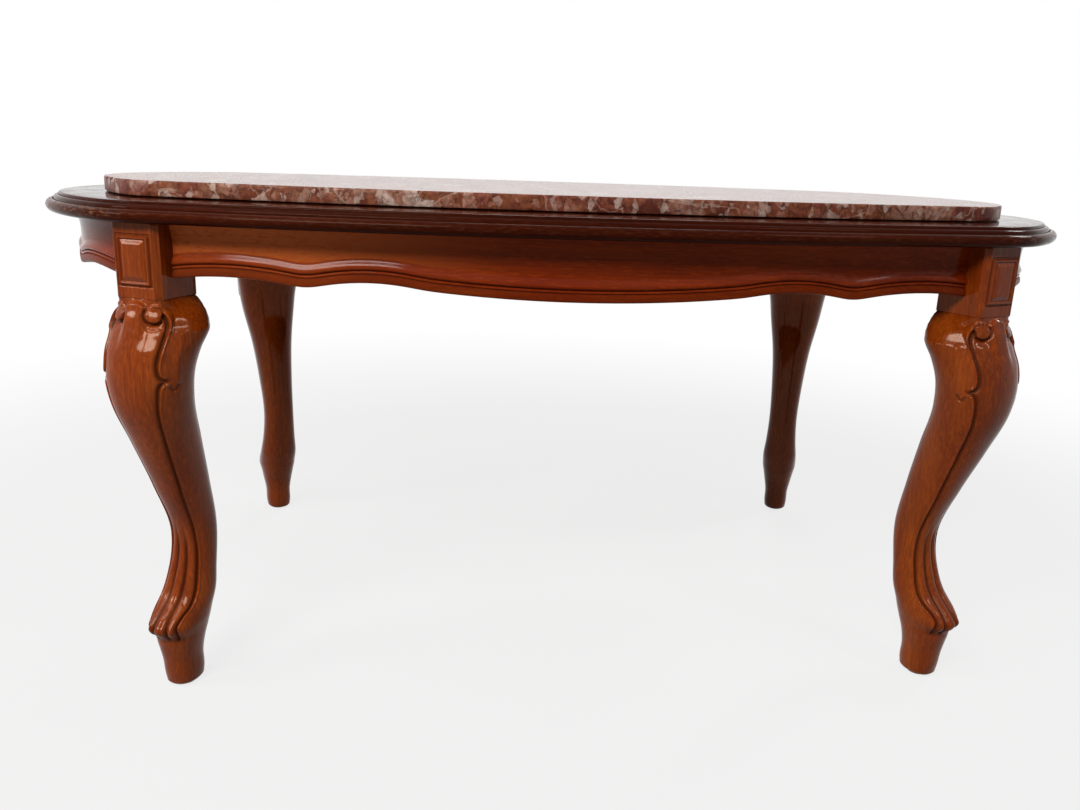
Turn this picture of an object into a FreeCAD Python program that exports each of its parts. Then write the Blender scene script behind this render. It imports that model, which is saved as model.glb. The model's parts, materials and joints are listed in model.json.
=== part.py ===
"""Center table: a loose marble slab on a moulded wooden top, bowed aprons and four cabriole legs.

The origin is on the floor under the middle of the table, X runs along its length and +Z is up.
"""
import FreeCAD, Part
import math
import os
import re

import Sketcher

# Driving dimensions, in millimetres and degrees.
SIZES = {
    # the frame line is the outer face of the aprons: an oval of two long and two short arcs
    "frame_length": 1086,
    "frame_width": 616,
    "frame_height": 475,
    "front_radius": 1770,
    "end_radius": 330,
    # legs: square posts turned outward, set in from the ends and sides of the frame line
    "post_end_inset": 141,
    "post_side_inset": 58,
    "post_turn": 22.5,
    "post_size": 51,
    "post_height": 69,
    "post_chamfer": 5,
    "neck_inset": 1.5,
    "panel_width": 34,
    "panel_height": 44,
    "panel_drop": 12,
    "panel_raise": 2.5,
    # leg sections from the floor up: rise from the section below, reach outward, depth along the
    # reach and width across; the rises share out the leg's length in proportion
    "foot_reach": -1,
    "foot_depth": 41,
    "foot_width": 33,
    "peg_rise": 29,
    "peg_reach": 0,
    "peg_depth": 44,
    "peg_width": 35,
    "sole_rise": 22,
    "sole_reach": 1.5,
    "sole_depth": 57,
    "sole_width": 43,
    "toe_rise": 16,
    "toe_reach": -0.5,
    "toe_depth": 65,
    "toe_width": 50,
    "arch_rise": 25,
    "arch_reach": -16,
    "arch_depth": 50,
    "arch_width": 51,
    "instep_rise": 25,
    "instep_reach": -25,
    "instep_depth": 42,
    "instep_width": 46,
    "ankle_rise": 38,
    "ankle_reach": -31,
    "ankle_depth": 43,
    "ankle_width": 42,
    "shin_rise": 57,
    "shin_reach": -17,
    "shin_depth": 55,
    "shin_width": 47,
    "calf_rise": 50,
    "calf_reach": -0.5,
    "calf_depth": 65,
    "calf_width": 57,
    "thigh_rise": 45,
    "thigh_reach": 14,
    "thigh_depth": 68,
    "thigh_width": 73,
    "knee_rise": 35,
    "knee_reach": 13,
    "knee_depth": 70,
    "knee_width": 84,
    "shoulder_rise": 27,
    "shoulder_reach": 3,
    "shoulder_depth": 70,
    "shoulder_width": 92,
    "ear_rise": 16,
    "ear_reach": -1,
    "ear_depth": 64,
    "ear_width": 88,
    "neck_rise": 18,
    # aprons: depths of the wavy lower edge below the top, with the places where its arcs meet
    "apron_thickness": 22,
    "scribe_allowance": 5,
    "front_mid_depth": 59,
    "front_ogee_depth": 52,
    "front_ogee_place": 150,
    "front_cusp_depth": 54.5,
    "front_cusp_place": 257,
    "front_end_depth": 54,
    "front_inner_hump_radius": 225,
    "front_outer_hump_radius": 360,
    "end_mid_depth": 58,
    "end_ogee_depth": 52.5,
    "end_ogee_place": 80,
    "end_cusp_depth": 54.5,
    "end_cusp_place": 140,
    "end_end_depth": 53,
    "end_inner_hump_radius": 75,
    "end_outer_hump_radius": 190,
    # moulded top of four rails round a deck
    "top_overhang": 27,
    "top_corner_radius": 120,
    "nose_height": 12,
    "nose_radius": 5.5,
    "step_height": 7,
    "step_inset": 7,
    "step_radius": 2.5,
    "rail_width": 100,
    "mitre_reach": 200,
    "rebate_width": 12,
    "deck_thickness": 9,
    "deck_clearance": 0.5,
    # marble slab on thin pads
    "slab_thickness": 15,
    "slab_end_margin": 57,
    "slab_side_margin": 73,
    "slab_edge": 1.5,
    "pad_thickness": 1,
    "pad_diameter": 12,
    "pad_spacing": 300,
    "pad_side": 150,
    # dowels
    "dowel_diameter": 8,
    "dowel_length": 36,
    "dowel_clearance": 0.1,
    "apron_dowel_drop": 14,
    "apron_dowel_spacing": 24,
    "rail_dowel_place": -10,
    "rail_dowel_spacing": 44,
    # bearers under the deck
    "bearer_place": 230,
    "bearer_width": 44,
    "bearer_drop": 16,
    "bearer_clearance": 2,
    "bearer_dowel_spacing": 22,
    "bearer_dowel_length": 26,
    "bearer_screw_place": 120,
    "bearer_screw_length": 32,
    # cleats and screws
    "cleat_length": 70,
    "cleat_depth": 20,
    "cleat_height": 20,
    "cleat_place": 110,
    "cleat_screw_spacing": 44,
    "cleat_screw_length": 30,
    "screw_diameter": 4,
    "screw_head_diameter": 8,
    "screw_head_height": 2.5,
    "screw_clearance": 0.1,
    # nailed foot glides
    "glide_diameter": 22,
    "glide_thickness": 3,
    "nail_diameter": 2.5,
    "nail_length": 16,
}

LEG_STATIONS = ("foot", "peg", "sole", "toe", "arch", "instep", "ankle", "shin", "calf", "thigh", "knee",
                "shoulder", "ear")
SECTION_ROUNDING = 0.88   # corner radius of a leg section, as a share of its smaller half size
NECK_ROUNDING = 0.35      # the same where the leg meets the square post

# Places that several pieces share, written with the names above.
POST_X = "(frame_length / 2 - post_end_inset)"
POST_Y = "(frame_width / 2 - post_side_inset)"
POST_BOTTOM = "(frame_height - post_height)"
NOSE_TOP = "(frame_height + nose_height)"
TOP_FACE = "(frame_height + nose_height + step_height)"
DECK_FACE = "(frame_height + nose_height + step_height - deck_thickness)"
SLAB_FACE = "(frame_height + nose_height + step_height + pad_thickness)"

doc = FreeCAD.newDocument("center_table")
sheet = doc.addObject("Spreadsheet::Sheet", "Sizes")
for row, (alias, size) in enumerate(SIZES.items(), start=1):
    sheet.set(f"A{row}", alias)
    sheet.set(f"B{row}", str(size))
    sheet.setAlias(f"B{row}", alias)
doc.recompute()

subparts = []


def expression(text):
    """The text with each size written as a cell of the sheet."""
    return re.sub(r"[a-z_]+", lambda m: "Sizes." + m[0] if m[0] in SIZES else m[0], text)


def number(text):
    return float(sheet.evalExpression(expression(text)))


def bind(item, prop, text):
    item.setExpression(prop, expression(text))


def vector(x, y, z=0.0):
    return FreeCAD.Vector(x, y, z)


def subpart(item, label):
    item.Label = label
    subparts.append(item)
    return item


def new_body(label, position=None, turn=0.0):
    body = doc.addObject("PartDesign::Body", label)
    rotation = FreeCAD.Rotation(vector(0, 0, 1), turn)
    body.Placement = FreeCAD.Placement(position or vector(0, 0), rotation)
    return body


def new_sketch(body, role="XY_Plane", offset="0"):
    """A sketch on one of the body's origin planes, moved along the plane's normal."""
    sketch = body.newObject("Sketcher::SketchObject", "Sketch")
    plane = next(f for f in body.Origin.OriginFeatures if f.Role == role)
    sketch.AttachmentSupport = [(plane, "")]
    sketch.MapMode = "FlatFace"
    sketch.AttachmentOffset = FreeCAD.Placement(vector(0, 0, number(offset)), FreeCAD.Rotation())
    bind(sketch, "AttachmentOffset.Base.z", offset)
    return sketch


def measure(sketch, kind, *elements, text):
    """A dimension whose value follows the sheet."""
    index = sketch.addConstraint(Sketcher.Constraint(kind, *elements, number(text)))
    bind(sketch, f"Constraints[{index}]", text)


def place_point(sketch, element, point, x, y):
    measure(sketch, "DistanceX", -1, 1, element, point, text=x)
    measure(sketch, "DistanceY", -1, 1, element, point, text=y)


def arc(center, radius, start, end):
    """An arc that turns from one angle to the other, in degrees and counter-clockwise."""
    whole = Part.Circle(center, vector(0, 0, 1), radius)
    return Part.ArcOfCircle(whole, math.radians(start), math.radians(end))


def polygon(sketch, corners):
    """A closed outline through corners given as pairs of texts."""
    first = sketch.GeometryCount
    points = [vector(number(x), number(y)) for x, y in corners]
    count = len(points)
    for i in range(count):
        sketch.addGeometry(Part.LineSegment(points[i], points[(i + 1) % count]), False)
    for i in range(count):
        sketch.addConstraint(Sketcher.Constraint("Coincident", first + i, 2, first + (i + 1) % count, 1))
    for i, (x, y) in enumerate(corners):
        place_point(sketch, first + i, 1, x, y)


def circle(sketch, diameter, x="0", y="0"):
    element = sketch.addGeometry(Part.Circle(vector(number(x), number(y)), vector(0, 0, 1),
                                             number(diameter) / 2), False)
    place_point(sketch, element, 3, x, y)
    measure(sketch, "Diameter", element, text=diameter)


def rounded_rectangle(sketch, width, depth, center, rounding):
    """A rectangle centred at (0, center) whose corners are rounded by a share of its smaller half."""
    half_width = number(width) / 2
    half_depth = number(depth) / 2
    middle = number(center)
    radius_text = f"min({width}; {depth}) / 2 * {rounding}"
    radius = number(radius_text)
    x = half_width - radius
    low = middle - half_depth + radius
    high = middle + half_depth - radius
    for i, center_point in enumerate((vector(x, low), vector(x, high), vector(-x, high), vector(-x, low))):
        sketch.addGeometry(arc(center_point, radius, 90 * i - 90, 90 * i), False)
    for i in range(4):
        ends = (sketch.Geometry[i].EndPoint, sketch.Geometry[(i + 1) % 4].StartPoint)
        sketch.addGeometry(Part.LineSegment(*ends), False)
    for i in range(4):
        sketch.addConstraint(Sketcher.Constraint("Tangent", i, 2, 4 + i, 1))
        sketch.addConstraint(Sketcher.Constraint("Tangent", 4 + i, 2, (i + 1) % 4, 1))
    for i in (1, 2, 3):
        sketch.addConstraint(Sketcher.Constraint("Equal", 0, i))
    for side, end in ((4, 5), (6, 7)):
        sketch.addConstraint(Sketcher.Constraint("Vertical", side))
        sketch.addConstraint(Sketcher.Constraint("Horizontal", end))
    measure(sketch, "DistanceX", -1, 1, 4, 1, text=f"{width} / 2")
    measure(sketch, "DistanceX", -1, 1, 6, 1, text=f"-{width} / 2")
    measure(sketch, "DistanceY", -1, 1, 5, 1, text=f"{center} + {depth} / 2")
    measure(sketch, "DistanceY", -1, 1, 7, 1, text=f"{center} - {depth} / 2")
    measure(sketch, "Radius", 0, text=radius_text)


def oval(sketch, end_margin, side_margin):
    """The outline of the top, drawn in by margins: bowed sides and ends joined by corner arcs."""
    half_length = f"(frame_length / 2 + top_overhang - {end_margin})"
    half_width = f"(frame_width / 2 + top_overhang - {side_margin})"
    side_text = f"(front_radius + top_overhang - {side_margin})"
    end_text = f"(end_radius + top_overhang - {end_margin})"
    corner_text = f"(top_corner_radius - {end_margin})"
    side = number(side_text)
    end = number(end_text)
    corner = number(corner_text)
    side_y = side - number(half_width)
    end_x = number(half_length) - end
    # the corner arc touches both bows from inside, so its centre lies on a circle about each
    to_side = side - corner
    to_end = end - corner
    apart = math.hypot(end_x, side_y)
    along = (apart ** 2 + to_end ** 2 - to_side ** 2) / (2 * apart)
    across = math.sqrt(to_end ** 2 - along ** 2)
    ux = -end_x / apart
    uy = side_y / apart
    corner_x = end_x + along * ux + across * uy
    corner_y = along * uy - across * ux
    lean = math.degrees(math.atan2(corner_x, side_y - corner_y))
    sweep = math.degrees(math.atan2(-corner_y, corner_x - end_x))
    px = corner_x
    py = -corner_y
    arcs = (
        (0, side_y, side, -90 - lean, -90 + lean),
        (px, -py, corner, -90 + lean, -sweep),
        (end_x, 0, end, -sweep, sweep),
        (px, py, corner, sweep, 90 - lean),
        (0, -side_y, side, 90 - lean, 90 + lean),
        (-px, py, corner, 90 + lean, 180 - sweep),
        (-end_x, 0, end, 180 - sweep, 180 + sweep),
        (-px, -py, corner, 180 + sweep, 270 - lean),
    )
    for x, y, radius, start, stop in arcs:
        sketch.addGeometry(arc(vector(x, y), radius, start, stop), False)
    for i in range(8):
        sketch.addConstraint(Sketcher.Constraint("Tangent", i, 2, (i + 1) % 8, 1))
    for i, j in ((0, 4), (2, 6), (1, 3), (1, 5), (1, 7)):
        sketch.addConstraint(Sketcher.Constraint("Equal", i, j))
    for element, text in ((0, side_text), (2, end_text), (1, corner_text)):
        measure(sketch, "Radius", element, text=text)
    place_point(sketch, 0, 3, "0", f"{side_text} - {half_width}")
    place_point(sketch, 4, 3, "0", f"{half_width} - {side_text}")
    place_point(sketch, 2, 3, f"{half_length} - {end_text}", "0")
    place_point(sketch, 6, 3, f"{end_text} - {half_length}", "0")


def pad(body, sketch, length):
    feature = body.newObject("PartDesign::Pad", "Pad")
    feature.Profile = sketch
    feature.Length = number(length)
    bind(feature, "Length", length)
    return feature


def pocket(body, sketch, length):
    """Cuts against the sketch's normal, and makes sure that something was cut away."""
    doc.recompute()
    before = body.Shape.Volume
    feature = body.newObject("PartDesign::Pocket", "Pocket")
    feature.Profile = sketch
    feature.Length = number(length)
    bind(feature, "Length", length)
    doc.recompute()
    if body.Shape.Volume >= before:
        raise RuntimeError(f"{body.Name}: a pocket cut nothing")
    return feature


def edges_at(shape, height):
    """Names of the edges that lie at one height."""
    names = []
    for i, edge in enumerate(shape.Edges, start=1):
        box = edge.BoundBox
        if abs(box.ZMin - height) < 0.001 and abs(box.ZMax - height) < 0.001:
            names.append(f"Edge{i}")
    return names


def dress(body, kind, base, heights, size_text):
    """Rounds or bevels every edge of the last feature that lies at the given heights."""
    doc.recompute()
    names = []
    for height in heights:
        names += edges_at(base.Shape, number(height))
    feature = body.newObject(f"PartDesign::{kind}", kind)
    feature.Base = (base, names)
    prop = "Radius" if kind == "Fillet" else "Size"
    setattr(feature, prop, number(size_text))
    bind(feature, prop, size_text)
    return feature


def prism(label, corners, low, height):
    body = new_body(label)
    sketch = new_sketch(body, offset=low)
    polygon(sketch, corners)
    pad(body, sketch, height)
    return body


def cut(base, tool, name="Cut"):
    item = doc.addObject("Part::Cut", name)
    item.Base = base
    item.Tool = tool
    return item


def group(items, name):
    item = doc.addObject("Part::Compound", name)
    item.Links = items
    return item


def pointing(position, direction):
    """A placement that turns +Z to the direction."""
    return FreeCAD.Placement(position, FreeCAD.Rotation(vector(0, 0, 1), direction))


def pins(places, diameter, length, name):
    """Round pins that start at each place and run along its direction."""
    items = []
    for position, direction in places:
        pin = doc.addObject("Part::Cylinder", "Pin")
        bind(pin, "Radius", f"({diameter}) / 2")
        bind(pin, "Height", length)
        pin.Placement = pointing(position, direction)
        items.append(pin)
    return group(items, name)


def copies(source, places, name):
    """Links to one fastener, each with its +Z turned to the direction."""
    items = []
    for position, direction in places:
        link = doc.addObject("App::Link", "Copy")
        link.LinkedObject = source
        link.Placement = pointing(position, direction)
        items.append(link)
    return group(items, name)


# The four corners: sign along X, sign along Y, name and turn of the leg's outward side from -Y.
TURN = number("post_turn")
CORNERS = (
    (-1, -1, "front_left", -TURN),
    (1, -1, "front_right", TURN),
    (-1, 1, "back_left", TURN - 180),
    (1, 1, "back_right", 180 - TURN),
)


def outward(turn):
    """The direction that -Y takes when it is turned."""
    return vector(math.sin(math.radians(turn)), -math.cos(math.radians(turn)))


def sideways(turn):
    """The direction that +X takes when it is turned."""
    return vector(math.cos(math.radians(turn)), math.sin(math.radians(turn)))


def post_center(sign_x, sign_y):
    return vector(sign_x * number(POST_X), sign_y * number(POST_Y))


def face_crossing(turn, center, radius, circle_y):
    """Where a post's inner side face, at local -X, meets a circle about (0, circle_y)."""
    across = sideways(turn)
    along = outward(turn)
    start = center - across * (number("post_size") / 2)
    from_center = start - vector(0, circle_y)
    b = from_center.dot(along)
    c = from_center.dot(from_center) - radius ** 2
    return start + along * (-b + math.sqrt(b * b - c))


class Side:
    """One side of the frame seen with its outer face towards -Y, as the front is."""

    def __init__(self, kind):
        front = kind == "front"
        self.kind = kind
        self.apex = "frame_width / 2" if front else "frame_length / 2"
        self.radius = "front_radius" if front else "end_radius"
        self.post_x = POST_X if front else POST_Y
        self.post_y = POST_Y if front else POST_X
        self.turn = "post_turn" if front else "(90 - post_turn)"
        self.circle_y = number(f"{self.radius} - {self.apex}")
        self.post = vector(number(self.post_x), -number(self.post_y))

    def joint(self, inward):
        """The point of the right-hand post's side face that lies the given depth behind the outer face."""
        radius = number(self.radius) - inward
        return face_crossing(number(self.turn), self.post, radius, self.circle_y)

    def inner_face(self, x):
        """The local y of the inner face at a place along the side."""
        radius = number(f"{self.radius} - apron_thickness")
        return self.circle_y - math.sqrt(radius ** 2 - x ** 2)


FRONT = Side("front")
END = Side("end")
SIDES = (("front", FRONT, 0), ("back", FRONT, 180), ("left", END, -90), ("right", END, 90))


def turned(point, turn):
    return FreeCAD.Rotation(vector(0, 0, 1), turn).multVec(point)


def apron_plan(sketch, side):
    """A bowed strip whose ends lie flat on the side faces of the two posts."""
    radius = number(side.radius)
    inner = number(f"{side.radius} - apron_thickness")
    middle = vector(0, side.circle_y)
    outer_end = side.joint(0)
    inner_end = side.joint(number("apron_thickness"))
    for size, point in ((radius, outer_end), (inner, inner_end)):
        swing = math.degrees(math.atan2(point.x, side.circle_y - point.y))
        sketch.addGeometry(arc(middle, size, -90 - swing, -90 + swing), False)
    for sign in (1, -1):
        ends = [vector(sign * p.x, p.y) for p in (outer_end, inner_end)]
        sketch.addGeometry(Part.LineSegment(*ends), False)
    for line, end in ((2, 2), (3, 1)):
        sketch.addConstraint(Sketcher.Constraint("Coincident", 0, end, line, 1))
        sketch.addConstraint(Sketcher.Constraint("Coincident", 1, end, line, 2))
    sketch.addConstraint(Sketcher.Constraint("Coincident", 0, 3, 1, 3))
    place_point(sketch, 0, 3, "0", f"{side.radius} - {side.apex}")
    measure(sketch, "Radius", 0, text=side.radius)
    measure(sketch, "Radius", 1, text=f"{side.radius} - apron_thickness")
    # a point of each post's side face fixes where the strip ends
    face_x = f"({side.post_x} - post_size / 2 * cos({side.turn}))"
    face_y = f"(-{side.post_y} - post_size / 2 * sin({side.turn}))"
    for sign, line, prefix in ((1, 2, ""), (-1, 3, "-")):
        point = sketch.addGeometry(Part.Point(vector(sign * number(face_x), number(face_y))), True)
        place_point(sketch, point, 1, prefix + face_x, face_y)
        sketch.addConstraint(Sketcher.Constraint("PointOnObject", point, 1, line))
    lean = f"(90 - {side.turn})"
    for line, text in ((2, f"180 - {lean}"), (3, lean)):
        index = sketch.addConstraint(Sketcher.Constraint("Angle", line, math.radians(number(text))))
        bind(sketch, f"Constraints[{index}]", f"({text}) * 1 deg")


def bulge(left, right, radius, upward):
    """A shallow arc between two points, bulging up or down; it runs counter-clockwise."""
    chord = right - left
    half = chord.Length / 2
    rise = math.sqrt(radius ** 2 - half ** 2)
    normal = vector(-chord.y, chord.x) / chord.Length
    center = (left + right) / 2 + normal * (-rise if upward else rise)
    angles = [math.degrees(math.atan2(p.y - center.y, p.x - center.x)) for p in (left, right)]
    return arc(center, radius, min(angles), max(angles))


def apron_wave(sketch, side):
    """Everything under the wavy lower edge, from the middle of one post to that of the other."""
    kind = side.kind
    marks = []
    for x, depth in (("ogee_place", "ogee_depth"), ("cusp_place", "cusp_depth"), (None, "end_depth")):
        marks.append((f"{kind}_{x}" if x else side.post_x, f"frame_height - {kind}_{depth}"))
    corners = [(f"-{x}", z) for x, z in marks[::-1]] + marks
    points = [vector(number(x), number(z)) for x, z in corners]
    sag = f"({kind}_mid_depth - {kind}_ogee_depth)"
    middle = f"({kind}_ogee_place^2 + {sag}^2) / (2 * {sag})"
    humps = [(f"{kind}_outer_hump_radius", True), (f"{kind}_inner_hump_radius", True)]
    pieces = humps + [(middle, False)] + humps[::-1]
    for i, (radius, upward) in enumerate(pieces):
        sketch.addGeometry(bulge(points[i], points[i + 1], number(radius), upward), False)
    low = f"frame_height - 2 * {kind}_mid_depth"
    base = [vector(point.x, number(low)) for point in (points[-1], points[0])]
    for ends in ((points[-1], base[0]), (base[0], base[1]), (base[1], points[0])):
        sketch.addGeometry(Part.LineSegment(*ends), False)
    # an arc that bulges up starts at its right-hand end
    lefts = [2 if upward else 1 for _, upward in pieces]
    rights = [3 - end for end in lefts]
    for i in range(4):
        sketch.addConstraint(Sketcher.Constraint("Coincident", i, rights[i], i + 1, lefts[i + 1]))
    for first, end, second, start in ((4, rights[4], 5, 1), (5, 2, 6, 1), (6, 2, 7, 1), (7, 2, 0, lefts[0])):
        sketch.addConstraint(Sketcher.Constraint("Coincident", first, end, second, start))
    for i, (radius, _) in enumerate(pieces):
        place_point(sketch, i, lefts[i], *corners[i])
        measure(sketch, "Radius", i, text=radius)
    place_point(sketch, 4, rights[4], *corners[5])
    sketch.addConstraint(Sketcher.Constraint("Vertical", 5))
    sketch.addConstraint(Sketcher.Constraint("Vertical", 7))
    measure(sketch, "DistanceY", -1, 1, 6, 1, text=low)


def make_apron(name, side, turn):
    body = new_body(f"apron_{name}_blank", turn=turn)
    depth = f"({side.kind}_mid_depth + scribe_allowance)"
    plan = new_sketch(body, offset=f"frame_height - {depth}")
    apron_plan(plan, side)
    pad(body, plan, depth)
    wave = new_sketch(body, "XZ_Plane", f"{side.apex} + apron_thickness")
    apron_wave(wave, side)
    pocket(body, wave, side.apex)
    return body


def station_height(station):
    """The height of a leg section, its share of the length between the glide and the post."""
    rises = [f"{name}_rise" for name in LEG_STATIONS[1:] + ("neck",)]
    below = " + ".join(rises[:LEG_STATIONS.index(station)]) or "0"
    length = f"({POST_BOTTOM} - glide_thickness)"
    return f"glide_thickness + {length} * ({below}) / ({' + '.join(rises)})"


def make_leg(name, sign_x, sign_y, turn):
    """Post, raised panel and cabriole leg in one piece; its outward side is local -Y."""
    body = new_body(f"leg_{name}_blank", post_center(sign_x, sign_y), turn)
    half = "post_size / 2"
    post = new_sketch(body, offset=POST_BOTTOM)
    polygon(post, (
        (half, half), (f"-{half}", half), (f"-{half}", f"post_chamfer - {half}"),
        (f"post_chamfer - {half}", f"-{half}"), (f"{half} - post_chamfer", f"-{half}"),
        (half, f"post_chamfer - {half}"),
    ))
    pad(body, post, "post_height")
    panel = new_sketch(body, "XZ_Plane", half)
    panel_top = "frame_height - panel_drop"
    panel_low = f"{panel_top} - panel_height"
    polygon(panel, (("-panel_width / 2", panel_low), ("panel_width / 2", panel_low),
                    ("panel_width / 2", panel_top), ("-panel_width / 2", panel_top)))
    pad(body, panel, "panel_raise")
    sections = []
    for station in LEG_STATIONS:
        sketch = new_sketch(body, offset=station_height(station))
        rounded_rectangle(sketch, f"{station}_width", f"{station}_depth", f"-{station}_reach",
                          SECTION_ROUNDING)
        sections.append(sketch)
    neck = new_sketch(body, offset=POST_BOTTOM)
    neck_size = "(post_size - 2 * neck_inset)"
    rounded_rectangle(neck, neck_size, neck_size, "0", NECK_ROUNDING)
    sections.append(neck)
    loft = body.newObject("PartDesign::AdditiveLoft", "Loft")
    loft.Profile = (sections[0], [""])
    loft.Sections = [(sketch, [""]) for sketch in sections[1:]]
    return body


def make_top_ring():
    """The moulded ring of the top before it is divided: a round nose with a smaller step on it."""
    body = new_body("top_ring")
    nose = new_sketch(body, offset="frame_height")
    oval(nose, "0", "0")
    lower = pad(body, nose, "nose_height")
    dress(body, "Fillet", lower, ("frame_height", NOSE_TOP), "nose_radius")
    step = new_sketch(body, offset=NOSE_TOP)
    oval(step, "step_inset", "step_inset")
    upper = pad(body, step, "step_height")
    dress(body, "Fillet", upper, (TOP_FACE,), "step_radius")
    opening = new_sketch(body, offset=TOP_FACE)
    oval(opening, "rail_width", "rail_width")
    pocket(body, opening, "nose_height + step_height")
    rebate = new_sketch(body, offset=TOP_FACE)
    margin = "(rail_width - rebate_width)"
    oval(rebate, margin, margin)
    pocket(body, rebate, "deck_thickness")
    return body


def rail_sector(name):
    """A block that holds one rail; the mitres run along the outward lines of the posts."""
    inner_x = f"({POST_X} - mitre_reach * sin(post_turn))"
    inner_y = f"({POST_Y} - mitre_reach * cos(post_turn))"
    outer_x = f"({POST_X} + mitre_reach * sin(post_turn))"
    outer_y = f"({POST_Y} + mitre_reach * cos(post_turn))"
    far = "frame_length"
    if name in ("front", "back"):
        sign = "-" if name == "front" else ""
        corners = ((f"-{inner_x}", sign + inner_y), (f"-{outer_x}", sign + outer_y),
                   (outer_x, sign + outer_y), (inner_x, sign + inner_y))
    else:
        sign = "-" if name == "left" else ""
        corners = ((sign + inner_x, f"-{inner_y}"), (sign + outer_x, f"-{outer_y}"),
                   (sign + far, f"-{outer_y}"), (sign + far, outer_y), (sign + outer_x, outer_y),
                   (sign + inner_x, inner_y))
    return prism(f"{name}_sector", corners, "frame_height", "nose_height + step_height")


def make_slab():
    body = new_body("marble_slab")
    sketch = new_sketch(body, offset=SLAB_FACE)
    oval(sketch, "slab_end_margin", "slab_side_margin")
    block = pad(body, sketch, "slab_thickness")
    dress(body, "Chamfer", block, (SLAB_FACE, f"{SLAB_FACE} + slab_thickness"), "slab_edge")
    return body


def make_deck():
    body = new_body("deck_blank")
    sketch = new_sketch(body, offset=DECK_FACE)
    margin = "(rail_width - rebate_width + deck_clearance)"
    oval(sketch, margin, margin)
    pad(body, sketch, "deck_thickness")
    return body


def make_bearer(name, sign, ends):
    """A cross rail from apron to apron, notched at its ends to pass under the rails of the top."""
    body = new_body(f"bearer_{name}_blank")
    sketch = new_sketch(body, "YZ_Plane", f"{sign} * bearer_place - bearer_width / 2")
    low = "frame_height - bearer_drop"
    bow = "(front_radius + top_overhang - rail_width)"
    far = "(bearer_place + bearer_width / 2)"
    notch = (f"(frame_width / 2 + top_overhang - rail_width - {bow} + sqrt({bow}^2 - {far}^2)"
             " - bearer_clearance)")
    near = "(bearer_place - bearer_width / 2)"
    inside = "(front_radius - apron_thickness)"
    end = f"(frame_width / 2 - front_radius + sqrt({inside}^2 - {near}^2) + scribe_allowance)"
    polygon(sketch, ((f"-{end}", low), (end, low), (end, "frame_height"), (notch, "frame_height"),
                     (notch, DECK_FACE), (f"-{notch}", DECK_FACE), (f"-{notch}", "frame_height"),
                     (f"-{end}", "frame_height")))
    pad(body, sketch, "bearer_width")
    return cut(body, ends)


def make_screw(name, length):
    """A round-headed screw along +Z with its head below the origin."""
    body = new_body(name)
    shank = new_sketch(body)
    circle(shank, "screw_diameter")
    pad(body, shank, length)
    head = new_sketch(body, offset="-screw_head_height")
    circle(head, "screw_head_diameter")
    pad(body, head, "screw_head_height")
    return body


def make_glide():
    """A foot glide: a disc with a nail that stands up into the foot."""
    body = new_body("glide")
    disc = new_sketch(body)
    circle(disc, "glide_diameter")
    pad(body, disc, "glide_thickness")
    nail = new_sketch(body, offset="glide_thickness")
    circle(nail, "nail_diameter")
    pad(body, nail, "nail_length")
    return body


def dowel_places():
    """Two dowels across each joint of apron and post, centred on the joint."""
    places = []
    for _, side, turn in SIDES:
        middle = side.joint(number("apron_thickness / 2"))
        across = sideways(number(side.turn))
        for sign in (1, -1):
            point = turned(vector(sign * middle.x, middle.y), turn)
            direction = turned(vector(sign * across.x, across.y), turn)
            for i in range(2):
                drop = number(f"apron_dowel_drop + {i} * apron_dowel_spacing")
                places.append((point + vector(0, 0, number("frame_height") - drop), direction))
    return places


def rail_dowel_places():
    """Two dowels across each mitre of the top, in the middle of its thickness."""
    places = []
    height = vector(0, 0, number("frame_height + (nose_height + step_height - deck_thickness) / 2"))
    for sign_x, sign_y, _, turn in CORNERS:
        for i in (-0.5, 0.5):
            along = number(f"rail_dowel_place + {i} * rail_dowel_spacing")
            point = post_center(sign_x, sign_y) + outward(turn) * along + height
            places.append((point, sideways(turn)))
    return places


def bearer_dowel_places():
    """Two dowels in each end of each bearer, centred on the face of the apron."""
    places = []
    height = number("frame_height - bearer_drop / 2")
    for sign in (-1, 1):
        for i in (-0.5, 0.5):
            x = number(f"{sign} * bearer_place + {i} * bearer_dowel_spacing")
            y = FRONT.inner_face(x)
            places.append((vector(x, y, height), vector(0, -1)))
            places.append((vector(x, -y, height), vector(0, 1)))
    return places


def slid_back(places, length):
    """The same places moved back by half a length, so that a pin there is centred."""
    half = number(length) / 2
    return [(point - direction * half, direction) for point, direction in places]


def dowels(places, label, length):
    """The dowels as one sub-part, with the bores that they sit in."""
    subpart(pins(slid_back(places, length), "dowel_diameter", length, label), label)
    bore = f"{length} + 2 * dowel_clearance"
    return pins(slid_back(places, bore), "dowel_diameter + 2 * dowel_clearance", bore, f"{label}_bores")


def cleat_sites():
    """Each cleat's name, side, turn and place along its side."""
    sites = []
    for name, side, turn in SIDES:
        if side is END:
            sites.append((name, side, turn, 0.0))
            continue
        for sign, hand in ((-1, "left"), (1, "right")):
            flip = -1 if name == "back" else 1
            sites.append((f"{name}_{hand}", side, turn, sign * flip * number("cleat_place")))
    return sites


def cleat_face(side, x):
    """The local y of the cleat's inner face, its depth behind the apron's inner face at its middle."""
    return side.inner_face(abs(x)) + number("cleat_depth")


def make_cleat(name, side, turn, x, apron):
    """A block under the top, scribed to the inner face of its apron."""
    block = doc.addObject("Part::Box", "Block")
    bind(block, "Length", "cleat_length")
    bind(block, "Width", "cleat_depth + scribe_allowance")
    bind(block, "Height", "cleat_height")
    corner = vector(x - number("cleat_length") / 2, side.inner_face(abs(x)) - number("scribe_allowance"),
                    number("frame_height - cleat_height"))
    block.Placement = FreeCAD.Placement(turned(corner, turn), FreeCAD.Rotation(vector(0, 0, 1), turn))
    return cut(block, apron)


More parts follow.
